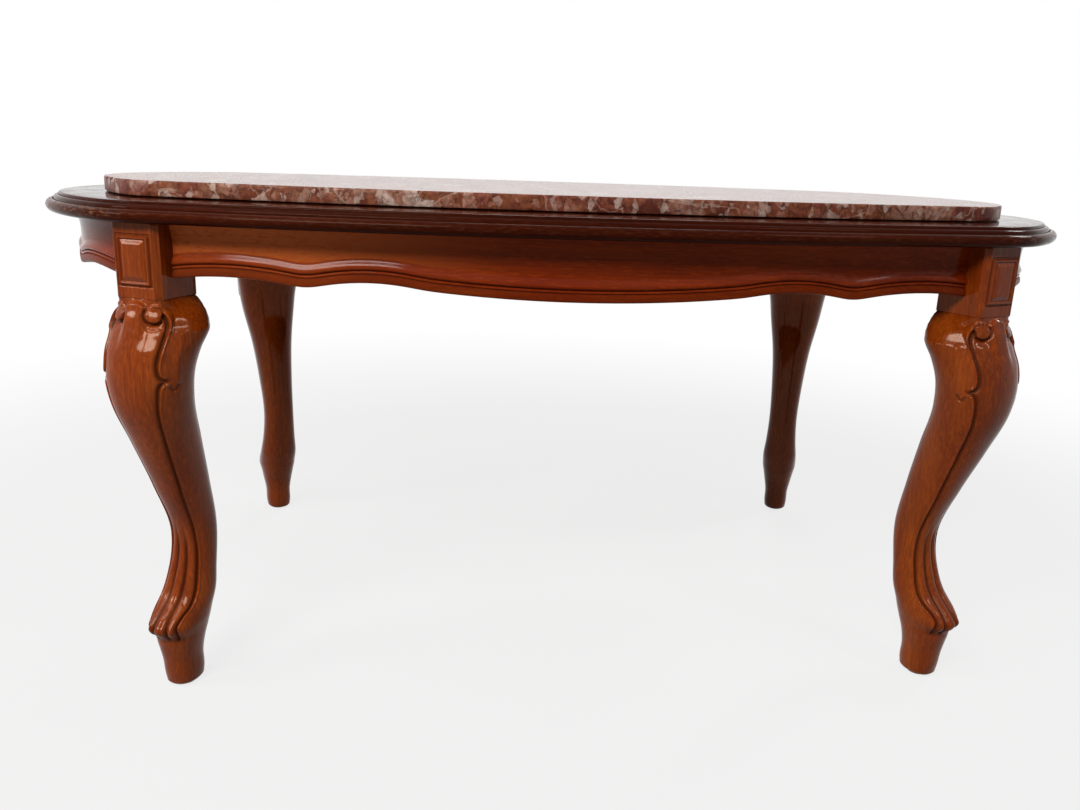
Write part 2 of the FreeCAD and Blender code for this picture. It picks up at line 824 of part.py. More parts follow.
def cleat_screw_places():
    """Two screws from each cleat into its apron."""
    places = []
    height = number("frame_height - cleat_height / 2")
    for _, side, turn, x in cleat_sites():
        for i in (-0.5, 0.5):
            along = x + number(f"{i} * cleat_screw_spacing")
            point = vector(along, cleat_face(side, x), height)
            places.append((turned(point, turn), turned(vector(0, -1), turn)))
    return places


def top_screw_places():
    """One screw from under each cleat up into its rail of the top."""
    places = []
    for _, side, turn, x in cleat_sites():
        y = cleat_face(side, x) - number("cleat_depth") / 2
        point = vector(x, y, number("frame_height - cleat_height"))
        places.append((turned(point, turn), vector(0, 0, 1)))
    return places


def bearer_screw_places():
    """Two screws from under each bearer up into the deck."""
    places = []
    for sign in (-1, 1):
        for end in (-1, 1):
            point = vector(sign * number("bearer_place"), end * number("bearer_screw_place"),
                           number("frame_height - bearer_drop"))
            places.append((point, vector(0, 0, 1)))
    return places


def screws(places, label, length):
    """The screws as one sub-part, with the holes that they run in."""
    subpart(copies(make_screw(f"{label}_screw", length), places, label), label)
    return pins(places, "screw_diameter + 2 * screw_clearance", f"{length} + 2 * screw_clearance",
                f"{label}_holes")


apron_bores = dowels(dowel_places(), "apron_dowels", "dowel_length")
rail_bores = dowels(rail_dowel_places(), "top_rail_dowels", "dowel_length")
bearer_bores = dowels(bearer_dowel_places(), "bearer_dowels", "bearer_dowel_length")
cleat_holes = screws(cleat_screw_places(), "cleat_screws", "cleat_screw_length")
top_holes = screws(top_screw_places(), "top_screws", "cleat_screw_length")
bearer_holes = screws(bearer_screw_places(), "bearer_screws", "bearer_screw_length")

aprons = {name: make_apron(name, side, turn) for name, side, turn in SIDES}
apron_tools = group([apron_bores, bearer_bores, cleat_holes], "apron_tools")
for name, blank in aprons.items():
    subpart(cut(blank, apron_tools), f"apron_{name}")

for name, side, turn, x in cleat_sites():
    apron_name = name.split("_")[0]
    scribed = make_cleat(name, side, turn, x, aprons[apron_name])
    subpart(cut(scribed, group([cleat_holes, top_holes], "cleat_tools")), f"cleat_{name}")

long_aprons = group([aprons["front"], aprons["back"]], "long_aprons")
for name, sign in (("left", -1), ("right", 1)):
    scribed = make_bearer(name, sign, long_aprons)
    subpart(cut(scribed, group([bearer_bores, bearer_holes], "bearer_tools")), f"bearer_{name}")

ring = make_top_ring()
rail_tools = group([rail_bores, top_holes], "rail_tools")
for name, _, _ in SIDES:
    rail = doc.addObject("Part::Common", "Rail")
    rail.Base = ring
    rail.Tool = rail_sector(name)
    subpart(cut(rail, rail_tools), f"top_rail_{name}")

subpart(cut(make_deck(), bearer_holes), "top_deck")
subpart(make_slab(), "marble_slab")
pad_places = []
for pad_x in (-1, 0, 1):
    for pad_y in (-1, 1):
        spot = vector(pad_x * number("pad_spacing"), pad_y * number("pad_side"), number(TOP_FACE))
        pad_places.append((spot, vector(0, 0, 1)))
subpart(pins(pad_places, "pad_diameter", "pad_thickness", "slab_pads"), "slab_pads")

glide_places = []
for sign_x, sign_y, _, turn in CORNERS:
    glide_places.append((post_center(sign_x, sign_y) + outward(turn) * number("foot_reach"), vector(0, 0, 1)))
subpart(copies(make_glide(), glide_places, "foot_glides"), "foot_glides")
nail_bores = pins(glide_places, "nail_diameter + 2 * dowel_clearance",
                  "glide_thickness + nail_length + dowel_clearance", "nail_bores")
leg_tools = group([apron_bores, nail_bores], "leg_tools")
for sign_x, sign_y, name, turn in CORNERS:
    subpart(cut(make_leg(name, sign_x, sign_y, turn), leg_tools), f"leg_{name}")

doc.recompute()
for item in doc.Objects:
    if "Invalid" in item.State or "Error" in item.State:
        raise RuntimeError(f"{item.Label} failed: {item.State}")
for item in subparts:
    if item.Shape.isNull() or not item.Shape.isValid() or not item.Shape.Solids:
        raise RuntimeError(f"{item.Label} has no sound shape")

os.makedirs("parts", exist_ok=True)
for item in subparts:
    item.Shape.exportStep(f"parts/{item.Label}.step")
    print(item.Label, len(item.Shape.Solids), "solids", round(item.Shape.Volume / 1000, 1), "cm3")
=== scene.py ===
"""Looks of the center table: carved legs, moulded aprons and top, and a slab of breccia marble."""
import json
import math

import bmesh
import bpy
import numpy as np
from mathutils import Matrix, Vector, noise


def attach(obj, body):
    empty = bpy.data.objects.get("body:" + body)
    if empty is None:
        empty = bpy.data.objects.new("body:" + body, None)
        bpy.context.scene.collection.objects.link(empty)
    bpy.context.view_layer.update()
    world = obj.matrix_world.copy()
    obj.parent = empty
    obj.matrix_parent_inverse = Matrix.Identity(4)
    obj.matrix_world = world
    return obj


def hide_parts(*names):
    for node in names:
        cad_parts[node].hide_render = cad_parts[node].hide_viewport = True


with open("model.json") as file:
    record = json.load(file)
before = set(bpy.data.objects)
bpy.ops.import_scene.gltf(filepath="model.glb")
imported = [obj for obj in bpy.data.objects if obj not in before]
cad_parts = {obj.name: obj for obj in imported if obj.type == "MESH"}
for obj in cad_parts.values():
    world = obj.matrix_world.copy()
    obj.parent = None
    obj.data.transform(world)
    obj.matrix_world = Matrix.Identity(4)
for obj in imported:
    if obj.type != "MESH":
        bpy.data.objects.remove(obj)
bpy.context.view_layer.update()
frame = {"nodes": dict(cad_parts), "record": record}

MM = 0.001

# Sizes of the model that the pieces follow, in millimetres and degrees.
FRAME_LENGTH = 1086
FRAME_WIDTH = 616
FRAME_HEIGHT = 475
FRONT_RADIUS = 1770
END_RADIUS = 330
POST_X = 402
POST_Y = 250
POST_TURN = 22.5
POST_SIZE = 51
POST_HEIGHT = 69
POST_FOOT = FRAME_HEIGHT - POST_HEIGHT
POST_CHAMFER = 5
PANEL_HALF_WIDTH = 17
PANEL_HALF_HEIGHT = 22
PANEL_MIDDLE = FRAME_HEIGHT - 34
APRON_THICKNESS = 22
TOP_OVERHANG = 27
TOP_CORNER_RADIUS = 120
TOP_THICKNESS = 19
RAIL_WIDTH = 100
REBATE_WIDTH = 12
DECK_THICKNESS = 9
SLAB_LOW = 495
SLAB_HIGH = 510
SLAB_END_MARGIN = 57
SLAB_SIDE_MARGIN = 73

# Signs of X and Y at each corner, and how far the leg there is turned.
CORNERS = {
    "front_left": (-1, -1, -POST_TURN),
    "front_right": (1, -1, POST_TURN),
    "back_left": (-1, 1, POST_TURN - 180),
    "back_right": (1, 1, 180 - POST_TURN),
}
# The kind of apron on each side, and how far it is turned from the front.
SIDES = {"front": ("front", 0), "back": ("front", 180), "left": ("end", -90), "right": ("end", 90)}

# Place in the wood of the first piece and the step to the next, along and across the grain in metres.
LEG_GRAIN = ((0, 0, 0), (0.7, 0.13, 0))
APRON_GRAIN = ((0, 0.4, 0), (0.31, 0.21, 0))
RAIL_GRAIN = ((0, 1.3, 0.2), (0.43, 0.17, 0))

# The upward part of the normal above which a face counts as level.
LEVEL_NORMAL = 0.99


def through(x, xs, ys):
    """A smooth curve through points, with slopes taken from the neighbours."""
    xs = np.asarray(xs, float)
    ys = np.asarray(ys, float)
    slopes = np.gradient(ys, xs)
    i = np.clip(np.searchsorted(xs, x) - 1, 0, len(xs) - 2)
    width = xs[i + 1] - xs[i]
    t = np.clip((x - xs[i]) / width, 0, 1)
    start = (1 + 2 * t) * (1 - t) ** 2 * ys[i] + t * (1 - t) ** 2 * width * slopes[i]
    end = t ** 2 * (3 - 2 * t) * ys[i + 1] - t ** 2 * (1 - t) * width * slopes[i + 1]
    return start + end


def ramp(x, low, high):
    """0 before low, 1 after high and smooth between; low may be the larger one."""
    t = np.clip((x - low) / (high - low), 0, 1)
    return t * t * (3 - 2 * t)


def window(x, rise, fall):
    """1 between a rise and a fall, each given as the place where it starts and the place where it is full."""
    return ramp(x, *rise) * ramp(x, *fall)


def rounded(distance, height, width):
    """A rib with a bell-shaped section, or a groove where the height is negative."""
    return height * np.exp(-(distance / width) ** 2)


def turned(points, degrees):
    """Points turned about the vertical axis."""
    c = math.cos(math.radians(degrees))
    s = math.sin(math.radians(degrees))
    return points @ np.array(((c, s, 0), (-s, c, 0), (0, 0, 1)))


def tube_faces(rows, columns):
    """Quads of a grid whose columns close on themselves, with a cap at each end."""
    faces = []
    for i in range(rows - 1):
        for j in range(columns):
            k = (j + 1) % columns
            faces.append((i * columns + j, i * columns + k, (i + 1) * columns + k, (i + 1) * columns + j))
    faces.append(tuple(range(columns)))
    faces.append(tuple(range((rows - 1) * columns, rows * columns)))
    return faces


def lengths(points):
    """How far along a line of points each of them is."""
    return np.concatenate(((0,), np.cumsum(np.hypot(*np.diff(points, axis=0).T))))


def grain_of(along, across, deep, index, places):
    """Places in the wood in metres, so that the grain differs from piece to piece."""
    start, step = (np.array(place) for place in places)
    return np.column_stack((along, across, deep)) * MM + (start + index * step)


def new_object(name, data):
    item = bpy.data.objects.new(name, data)
    bpy.context.scene.collection.objects.link(item)
    return item


def make_piece(name, points, faces, node, body, materials, values, sharp=40):
    """A mesh in place of a node of the model; values are stored on its points for the shaders."""
    mesh = bpy.data.meshes.new(name)
    mesh.from_pydata((points * MM).tolist(), [], faces)
    shape = bmesh.new()
    shape.from_mesh(mesh)
    bmesh.ops.recalc_face_normals(shape, faces=shape.faces)
    shape.to_mesh(mesh)
    shape.free()
    for key, array in values.items():
        kind = "FLOAT_VECTOR" if array.ndim == 2 else "FLOAT"
        layer = mesh.attributes.new(key, kind, "POINT")
        layer.data.foreach_set("vector" if array.ndim == 2 else "value", array.astype(np.float32).ravel())
    mesh.shade_smooth()
    mesh.set_sharp_from_angle(angle=math.radians(sharp))
    for material in materials:
        mesh.materials.append(material)
    piece = new_object(name, mesh)
    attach(piece, body)
    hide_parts(node)
    return piece


def finish_top(piece):
    """The second material on the faces that look straight up."""
    for face in piece.data.polygons:
        face.material_index = 1 if face.normal.z > LEVEL_NORMAL else 0


# Shader helpers

def new_material(name):
    material = bpy.data.materials.new(name)
    material.use_nodes = True
    tree = material.node_tree
    return material, tree, tree.nodes["Principled BSDF"]


def feed(tree, socket, value):
    """Links a socket, or sets it to a constant."""
    if isinstance(value, bpy.types.NodeSocket):
        tree.links.new(value, socket)
    else:
        socket.default_value = value


def add(tree, kind, options=None, **inputs):
    """A node with its options and inputs set; underscores in input names stand for spaces."""
    node = tree.nodes.new(kind)
    for key, value in (options or {}).items():
        setattr(node, key, value)
    for key, value in inputs.items():
        feed(tree, node.inputs[key.replace("_", " ")], value)
    return node


def with_inputs(tree, kind, operation, values):
    """The first output of a node whose inputs are filled in order."""
    node = add(tree, kind, {"operation": operation})
    for socket, value in zip(node.inputs, values):
        feed(tree, socket, value)
    return node.outputs[0]


def maths(tree, operation, *values):
    return with_inputs(tree, "ShaderNodeMath", operation, values)


def times(tree, first, second):
    return maths(tree, "MULTIPLY", first, second)


def plus(tree, first, second):
    return maths(tree, "ADD", first, second)


def mixed(tree, factor, first, second, blend="MIX"):
    """Two colours mixed."""
    node = add(tree, "ShaderNodeMix", {"data_type": "RGBA", "blend_type": blend})
    feed(tree, node.inputs[0], factor)
    feed(tree, node.inputs[6], first)
    feed(tree, node.inputs[7], second)
    return node.outputs[2]


def shaded(tree, color, level):
    """A colour made lighter or darker by a factor."""
    grey = add(tree, "ShaderNodeCombineColor", Red=level, Green=level, Blue=level)
    return mixed(tree, 1.0, color, grey.outputs[0], "MULTIPLY")


def spread(tree, value, low, high, new_low=0.0, new_high=1.0):
    """A value's range mapped smoothly to another one."""
    node = add(tree, "ShaderNodeMapRange", {"interpolation_type": "SMOOTHSTEP"}, Value=value, From_Min=low,
               From_Max=high, To_Min=new_low, To_Max=new_high)
    return node.outputs[0]


def color_ramp(tree, value, stops):
    node = tree.nodes.new("ShaderNodeValToRGB")
    elements = node.color_ramp.elements
    while len(elements) < len(stops):
        elements.new(0.5)
    for element, (place, color) in zip(elements, stops):
        element.position = place
        element.color = (*color, 1)
    feed(tree, node.inputs[0], value)
    return node.outputs[0]


def over(tree, color, mask, paint, cover):
    """A colour with paint over it where a mask is 1."""
    return mixed(tree, times(tree, mask, cover), color, paint)


def even(scale):
    return (scale, scale, scale)


def noise_at(tree, vector, scales, detail, distortion=0.0, output="Fac"):
    """Noise whose scale differs along the three axes, per metre."""
    place = add(tree, "ShaderNodeMapping", Vector=vector, Scale=scales)
    node = add(tree, "ShaderNodeTexNoise", Vector=place.outputs[0], Scale=1.0, Detail=detail,
               Distortion=distortion)
    return node.outputs[output]


def stored(tree, key, output="Fac"):
    """A value stored on the points of the mesh."""
    return add(tree, "ShaderNodeAttribute", {"attribute_name": key}).outputs[output]


def object_place(tree):
    return add(tree, "ShaderNodeTexCoord").outputs["Object"]


def layer(tree, place, texture, levels):
    """Noise of which a range of values is mapped to other levels."""
    return spread(tree, noise_at(tree, place, *texture), *levels)


def finish(tree, shader, color, roughness, height, bump):
    """Colour, roughness and a bump, given as its height and its strength and distance."""
    feed(tree, shader.inputs["Base Color"], color)
    feed(tree, shader.inputs["Roughness"], roughness)
    strength, distance = bump
    node = add(tree, "ShaderNodeBump", Height=height, Strength=strength, Distance=distance)
    feed(tree, shader.inputs["Normal"], node.outputs[0])


# Lacquered wood

# Noise in the wood: scale along, across and through the grain per metre, detail and distortion.
FIGURE = ((1.8, 30, 30), 4, 0.4)
FIBRES = ((40, 1500, 1500), 2)
RIPPLES = ((70, 110, 110), 2)

# Such noise with the values between which it grows, and the levels it grows between if not 0 and 1.
STREAKS = (((5, 420, 420), 4, 0.2), (0.3, 0.72, 0.8, 1.14))
BLOTCHES = (((7, 11, 11), 2), (0.42, 0.7))
FLECKS = (((80, 460, 460), 2), (0.52, 0.66))
SCUFFS = (((130, 520, 520), 5, 0.3), (0.5, 0.64))
SMEARS = (((25, 40, 40), 4), (0.3, 0.75, 0.08, 0.17))
PORE_RANGE = (0.56, 0.7)
FIGURE_STOPS = (0.22, 0.5, 0.8)

# Colours laid over the stain, and how far each covers it.
PORE_PAINT = ((0.035, 0.007, 0.002, 1), 0.3)
# Painted shade: a near black laid into hollows, grooves and seams, where shade falls.
PAINTED_HOLLOW_SHADE = ((0.03, 0.006, 0.002, 1), 0.75)
WORN_PAINT = ((0.22, 0.1, 0.048, 1), 0.5)
# Partly painted light: a paler stain on the front apron, as faded wood and as light laid where the overhang
# shades the field.
FADED_AND_LIT_COLOR = (0.5, 0.11, 0.024, 1)
FADED_AND_LIT_COVER = 0.85
BLOTCH_COVER = 0.6
FLECK_COVER = 0.26
FADED_AND_LIT_FLECK_COVER = 0.3
FLECK_LIGHTNESS = 1.25

# Roughness that wear and hollows add, relief of the surface, and the strength and distance of its bump.
WORN_ROUGHNESS = 0.35
HOLLOW_ROUGHNESS = 0.5
FIBRE_RELIEF = 0.22
WORN_RELIEF = -1.0
RIPPLE_RELIEF = 0.4
LACQUER_BUMP = (0.13, 0.0004)
WARM_TINT = (1.0, 0.78, 0.6, 1)
PALE_TINT = (1, 0.92, 0.88, 1)

# Stains: the dark, middle and light tone of the figure, and redder blotches.
BROWN_STAIN = (
    (0.106, 0.0132, 0.001),
    (0.186, 0.0285, 0.002),
    (0.266, 0.052, 0.004),
    (0.14, 0.0155, 0.001),
)
RED_STAIN = (
    (0.12, 0.0095, 0.001),
    (0.182, 0.019, 0.0016),
    (0.25, 0.035, 0.0035),
    (0.147, 0.0107, 0.001),
)
DARK_STAIN = (
    (0.018, 0.0024, 0.0008),
    (0.031, 0.0042, 0.0012),
    (0.053, 0.0085, 0.0023),
    (0.03, 0.003, 0.0009),
)


def stained(tree, grain, fibre, stain):
    """A stain with its figure, fine streaks, pores and redder blotches."""
    *tones, red = stain
    color = color_ramp(tree, noise_at(tree, grain, *FIGURE), tuple(zip(FIGURE_STOPS, tones)))
    color = shaded(tree, color, layer(tree, grain, *STREAKS))
    color = over(tree, color, spread(tree, fibre, *PORE_RANGE), *PORE_PAINT)
    return over(tree, color, layer(tree, grain, *BLOTCHES), (*red, 1), BLOTCH_COVER)


def aged(tree, grain, color, light, hollow_shade, wear):
    """A stain's colour: paler in places, as faded stain and painted light, with pale flecks, painted shade in
    hollows and edges worn by use.
    """
    # Paler where the stain has faded and where light is painted, and more flecks show there.
    faded_and_lit = stored(tree, "faded_and_lit")
    color = mixed(tree, faded_and_lit, color, mixed(tree, FADED_AND_LIT_COVER, color, FADED_AND_LIT_COLOR))
    showing = plus(tree, FLECK_COVER, times(tree, faded_and_lit, FADED_AND_LIT_FLECK_COVER))
    pale = (*(FLECK_LIGHTNESS * c for c in light), 1)
    color = over(tree, color, layer(tree, grain, *FLECKS), pale, showing)
    color = over(tree, color, hollow_shade, *PAINTED_HOLLOW_SHADE)
    return over(tree, color, wear, *WORN_PAINT)


def lacquered_wood(name, stain, gloss, tint=WARM_TINT):
    """Stain over a fine straight grain under a gloss lacquer, with painted shade in hollows, and worn on
    edges.
    """
    material, tree, shader = new_material(name)
    grain = stored(tree, "grain", "Vector")
    hollow_shade = stored(tree, "hollow_shade")
    wear = times(tree, stored(tree, "wear"), layer(tree, grain, *SCUFFS))
    fibre = noise_at(tree, grain, *FIBRES)
    color = aged(tree, grain, stained(tree, grain, fibre, stain), stain[2], hollow_shade, wear)
    dull = plus(tree, times(tree, wear, WORN_ROUGHNESS), times(tree, hollow_shade, HOLLOW_ROUGHNESS))
    roughness = plus(tree, layer(tree, grain, *SMEARS), dull)
    height = plus(tree, times(tree, fibre, FIBRE_RELIEF), times(tree, wear, WORN_RELIEF))
    ripples = times(tree, noise_at(tree, grain, *RIPPLES), RIPPLE_RELIEF)
    finish(tree, shader, color, roughness, plus(tree, height, ripples), LACQUER_BUMP)
    shader.inputs["Specular IOR Level"].default_value = gloss
    shader.inputs["Specular Tint"].default_value = tint
    return material


# Bare wood, metal and plastic

# Detail and distortion of the figure, scale of the fibres against it, and how the fibres darken the wood.
BARE_FIGURE = (5, 0.7)
BARE_STOPS = (0.25, 0.75)
BARE_FIBRE_SCALE = 9
BARE_FIBRE_DETAIL = 3
BARE_FIBRE_RANGE = (0.5, 0.75)
BARE_FIBRE_COVER = 0.4
BARE_FIBRE_LIGHTNESS = 0.45
BARE_ROUGHNESS = (0.6, 0.75)
BARE_BUMP = (0.5, 0.0004)

# Mottling and grit of metal and plastic, and the values of noise between which tone and roughness change.
MOTTLING = ((300, 300, 300), 4)
MOTTLED_ROUGHNESS = 0.2
GRIT = ((1800, 1800, 1800), 2)
GRIT_BUMP = (0.3, 0.0002)
TONE_RANGE = (0.3, 0.7)


def bare_wood(name, dark, light, scales):
    """Unfinished wood with its grain along the axis that has the smallest scale."""
    material, tree, shader = new_material(name)
    place = object_place(tree)
    figure = noise_at(tree, place, scales, *BARE_FIGURE)
    fibre = noise_at(tree, place, [BARE_FIBRE_SCALE * s for s in scales], BARE_FIBRE_DETAIL)
    color = color_ramp(tree, figure, tuple(zip(BARE_STOPS, (dark, light))))
    shade = (*(BARE_FIBRE_LIGHTNESS * c for c in dark), 1)
    color = over(tree, color, spread(tree, fibre, *BARE_FIBRE_RANGE), shade, BARE_FIBRE_COVER)
    finish(tree, shader, color, spread(tree, fibre, *TONE_RANGE, *BARE_ROUGHNESS), fibre, BARE_BUMP)
    return material


def plain_material(name, dark, light, roughness, metallic):
    """A metal or plastic with fine mottling and grit."""
    material, tree, shader = new_material(name)
    place = object_place(tree)
    mottle = noise_at(tree, place, *MOTTLING)
    color = color_ramp(tree, mottle, tuple(zip(TONE_RANGE, (dark, light))))
    rough = spread(tree, mottle, *TONE_RANGE, roughness, roughness + MOTTLED_ROUGHNESS)
    finish(tree, shader, color, rough, noise_at(tree, place, *GRIT), GRIT_BUMP)
    shader.inputs["Metallic"].default_value = metallic
    return material


# Marble

# Tones of the ground and of the fragments, by the value of their noise.
GROUND_TONES = (
    (0.3, (0.15, 0.03, 0.017)),
    (0.45, (0.25, 0.068, 0.04)),
    (0.55, (0.24, 0.075, 0.03)),
    (0.7, (0.36, 0.18, 0.125)),
)
FRAGMENT_TONES = (
    (0.0, (0.085, 0.018, 0.011)),
    (0.3, (0.18, 0.042, 0.025)),
    (0.5, (0.31, 0.105, 0.055)),
    (0.7, (0.45, 0.23, 0.165)),
    (0.86, (0.6, 0.44, 0.36)),
)
GROUND = ((11, 11, 11), 4, 0.5)

# Sizes of fragments: cells per metre, how far their outlines are broken and how far they cover the ground.
FRAGMENTS = ((50.0, 0.02, 0.9), (165.0, 0.006, 0.7))
FRAGMENT_LEAN = (0.5, 0.7, 0.4)
FRAGMENT_STRETCH = (1.0, 0.5, 0.75)
MISSING_SHARE = 0.4

# Scales of noise against the cells': for broken outlines, patches of fragments and the width of seams.
BROKEN_SCALE = 1.1
BROKEN_DETAIL = 4
PATCH_SCALE = 0.3
PATCH_RANGE = (0.35, 0.6)
SEAM_SCALE = 0.5
SEAM_RANGE = (0.45, 0.75, 0.0, 0.09)
COARSE_DETAIL = 2
SEAM_PAINT = ((0.1, 0.026, 0.018, 1), 0.7)

# Cloudy shade, fine veins along the middle value of a noise, and pits.
CLOUDS = (((240, 240, 240), 5), (0.3, 0.7, 0.46, 0.84))
VEINS = ((9, 9, 9), 6, 1.4)
VEIN_RANGE = (0.0, 0.012, 0.3, 0.0)
VEIN_COLOR = (0.6, 0.47, 0.39, 1)
PITS = ((420, 420, 420), 3)
PIT_RANGE = (0.35, 0.7)
PIT_DISTANCE = 0.0003


def shifted(tree, place, scale, amount):
    """Places moved about by noise, so that cells get broken outlines."""
    warp = noise_at(tree, place, even(scale), BROKEN_DETAIL, output="Color")
    centered = with_inputs(tree, "ShaderNodeVectorMath", "SUBTRACT", (warp, even(0.5)))
    scaled = add(tree, "ShaderNodeVectorMath", {"operation": "SCALE"}, Scale=amount)
    feed(tree, scaled.inputs[0], centered)
    return with_inputs(tree, "ShaderNodeVectorMath", "ADD", (place, scaled.outputs[0]))


def cells(tree, feature, place, scale):
    return add(tree, "ShaderNodeTexVoronoi", {"feature": feature}, Vector=place, Scale=scale, Randomness=1.0)


def with_fragments(tree, place, leaning, color, size):
    """A colour with fragments of one size laid over it, and dark seams between some of them."""
    scale, broken, cover = size
    bent = shifted(tree, leaning, BROKEN_SCALE * scale, broken)
    cell = cells(tree, "F1", bent, scale)
    tone = add(tree, "ShaderNodeSeparateColor", Color=cell.outputs["Color"])
    there = maths(tree, "GREATER_THAN", tone.outputs[1], MISSING_SHARE)
    patches = layer(tree, place, (even(PATCH_SCALE * scale), COARSE_DETAIL), PATCH_RANGE)
    paint = color_ramp(tree, tone.outputs[0], FRAGMENT_TONES)
    color = over(tree, color, times(tree, there, patches), paint, cover)
    edge = cells(tree, "DISTANCE_TO_EDGE", bent, scale)
    width = layer(tree, place, (even(SEAM_SCALE * scale), COARSE_DETAIL), SEAM_RANGE)
    seam = maths(tree, "LESS_THAN", edge.outputs["Distance"], width)
    return over(tree, color, seam, *SEAM_PAINT)


def breccia(name, roughness, gloss, pit_strength):
    """Angular fragments, pink, beige and red, in a red-brown ground with dark seams and fine veins."""
    material, tree, shader = new_material(name)
    place = object_place(tree)
    color = color_ramp(tree, noise_at(tree, place, *GROUND), GROUND_TONES)
    leaning = add(tree, "ShaderNodeMapping", Vector=place, Rotation=FRAGMENT_LEAN, Scale=FRAGMENT_STRETCH)
    for size in FRAGMENTS:
        color = with_fragments(tree, place, leaning.outputs[0], color, size)
    color = shaded(tree, color, layer(tree, place, *CLOUDS))
    off_middle = maths(tree, "SUBTRACT", noise_at(tree, place, *VEINS), 0.5)
    color = mixed(tree, spread(tree, maths(tree, "ABSOLUTE", off_middle), *VEIN_RANGE), color, VEIN_COLOR)
    pits = noise_at(tree, place, *PITS)
    rough = spread(tree, pits, *PIT_RANGE, *roughness)
    finish(tree, shader, color, rough, pits, (pit_strength, PIT_DISTANCE))
    shader.inputs["Specular IOR Level"].default_value = gloss
    return material


LACQUER = lacquered_wood("lacquered_wood", BROWN_STAIN, gloss=0.15)
RED_LACQUER = lacquered_wood("red_lacquered_wood", RED_STAIN, gloss=0.06)
RUBBED_LACQUER = lacquered_wood("rubbed_lacquered_wood", RED_STAIN, gloss=0.1, tint=PALE_TINT)
DARK_LACQUER = lacquered_wood("dark_lacquered_wood", DARK_STAIN, gloss=0.025)
POLISHED_LACQUER = lacquered_wood("polished_lacquered_wood", DARK_STAIN, gloss=0.1)
MARBLE_TOP = breccia("marble_polished", roughness=(0.1, 0.2), gloss=0.06, pit_strength=0.1)
MARBLE_EDGE = breccia("marble_edge", roughness=(0.3, 0.5), gloss=0.1, pit_strength=0.4)

# Finishes of the pieces that show as they are, by slot: dark and light tone, then the scales of the figure,
# or the roughness and the metallic share.
BARE_WOODS = {
    "plywood": ((0.34, 0.2, 0.1), (0.5, 0.33, 0.18), (3, 40, 40)),
    "inner_wood": ((0.24, 0.12, 0.05), (0.42, 0.25, 0.13), (60, 5, 60)),
    "dowel_wood": ((0.4, 0.26, 0.13), (0.56, 0.4, 0.23), (30, 30, 60)),
}
PLAIN = {
    "screw_steel": ((0.32, 0.26, 0.13), (0.55, 0.48, 0.3), 0.28, 1.0),
    "clear_pad": ((0.6, 0.6, 0.57), (0.72, 0.72, 0.69), 0.3, 0.0),
    "glide_plastic": ((0.022, 0.017, 0.014), (0.045, 0.036, 0.03), 0.45, 0.0),
}
BARE = {slot: bare_wood(slot, *values) for slot, values in BARE_WOODS.items()}
BARE.update({slot: plain_material(slot, *values) for slot, values in PLAIN.items()})


# Legs

# Leg sections from the floor up: height, reach of the front, reach of the back and half width behind.
LEG_SECTIONS = np.array((
    (3, 15.6, -19, 14.6),
    (4.6, 17, -20.6, 16),
    (8, 17.8, -21.4, 16.7),
    (32, 21, -22, 17.7),
    (52, 24.8, -26, 21.2),
    (60.5, 26.4, -29.5, 22.7),
    (66, 30.6, -31.8, 23.9),
    (72, 32.6, -33.8, 25.2),
    (80, 26.8, -36, 25.7),
    (95, 9.5, -41, 25.5),
    (120, -4, -46, 23),
    (158, -9.5, -52.5, 21),
    (215, 10.5, -44.5, 23.5),
    (265, 32, -33, 28.5),
    (310, 48, -20, 36.5),
    (345, 48.5, -22, 41.5),
    (360, 44.5, -27, 44.6),
    (372, 38, -31, 48.2),
    (377, 35.5, -31.8, 49.2),
    (382, 33, -31.8, 47.6),
    (390, 30.2, -31, 43.4),
    (398, 26.8, -28.4, 35.4),
    (403, 25.6, -26.4, 29.2),
    (406, 25.2, -25.2, 25.2),
))

# How far the ears stand out behind the front half, by height, and the angles between which they set in.
EARS = np.array((
    (300, 0),
    (345, 0),
    (360, 2.2),
    (372, 6.2),
    (382, 8.2),
    (390, 7.4),
    (398, 6.2),
    (403, 2.2),
    (406, 0),
))
EAR_ANGLES = (64, 108)

# How square the sections get towards the post, by height: in front and behind.
SQUARENESS = np.array((
    (300, 2.25, 2.25),
    (345, 2.25, 2.25),
    (372, 2.25, 2.55),
    (384, 2.25, 3.0),
    (392, 2.3, 3.8),
    (398, 2.7, 6),
    (402, 3.9, 11),
    (406, 6.6, 28),
))

# Lines of the carving on one half of the leg, as (angle from the front, height).
KNEE_LINE = (
    (45.5, 394.5), (51, 390.6), (54, 385), (53, 378), (50.6, 370), (49.3, 362), (48, 353), (48.3, 345),
    (51.5, 338.5), (57, 335), (63, 333.4),
)
SHANK_LINE = (
    (69, 331.6), (63, 332.8), (56, 331.4), (51, 326.5), (48.8, 318), (46.5, 306), (42, 278), (38.5, 246),
    (37, 219), (36.5, 180), (40, 160), (46, 140), (49, 120), (50, 102), (45, 89), (36, 82), (31, 76),
    (33, 68), (34, 61),
)
TOE_LINE = (
    (10, 172), (12, 156), (14, 141), (16, 125), (16.5, 107), (14.5, 94), (12.5, 82), (13, 74), (14.5, 62),
)
LEAF_RIDGE = ((70, 374), (72.5, 366), (72.5, 354), (74.5, 342), (75.5, 333))
LEAF_TIP = ((76.5, 329), (73.5, 325.5), (70, 324.3), (66, 327))
LINES = (KNEE_LINE, SHANK_LINE, TOE_LINE, LEAF_RIDGE, LEAF_TIP)

# The furthest that a line reaches, and the spacing of points along it.
LINE_REACH = 12
LINE_STEP = 0.5

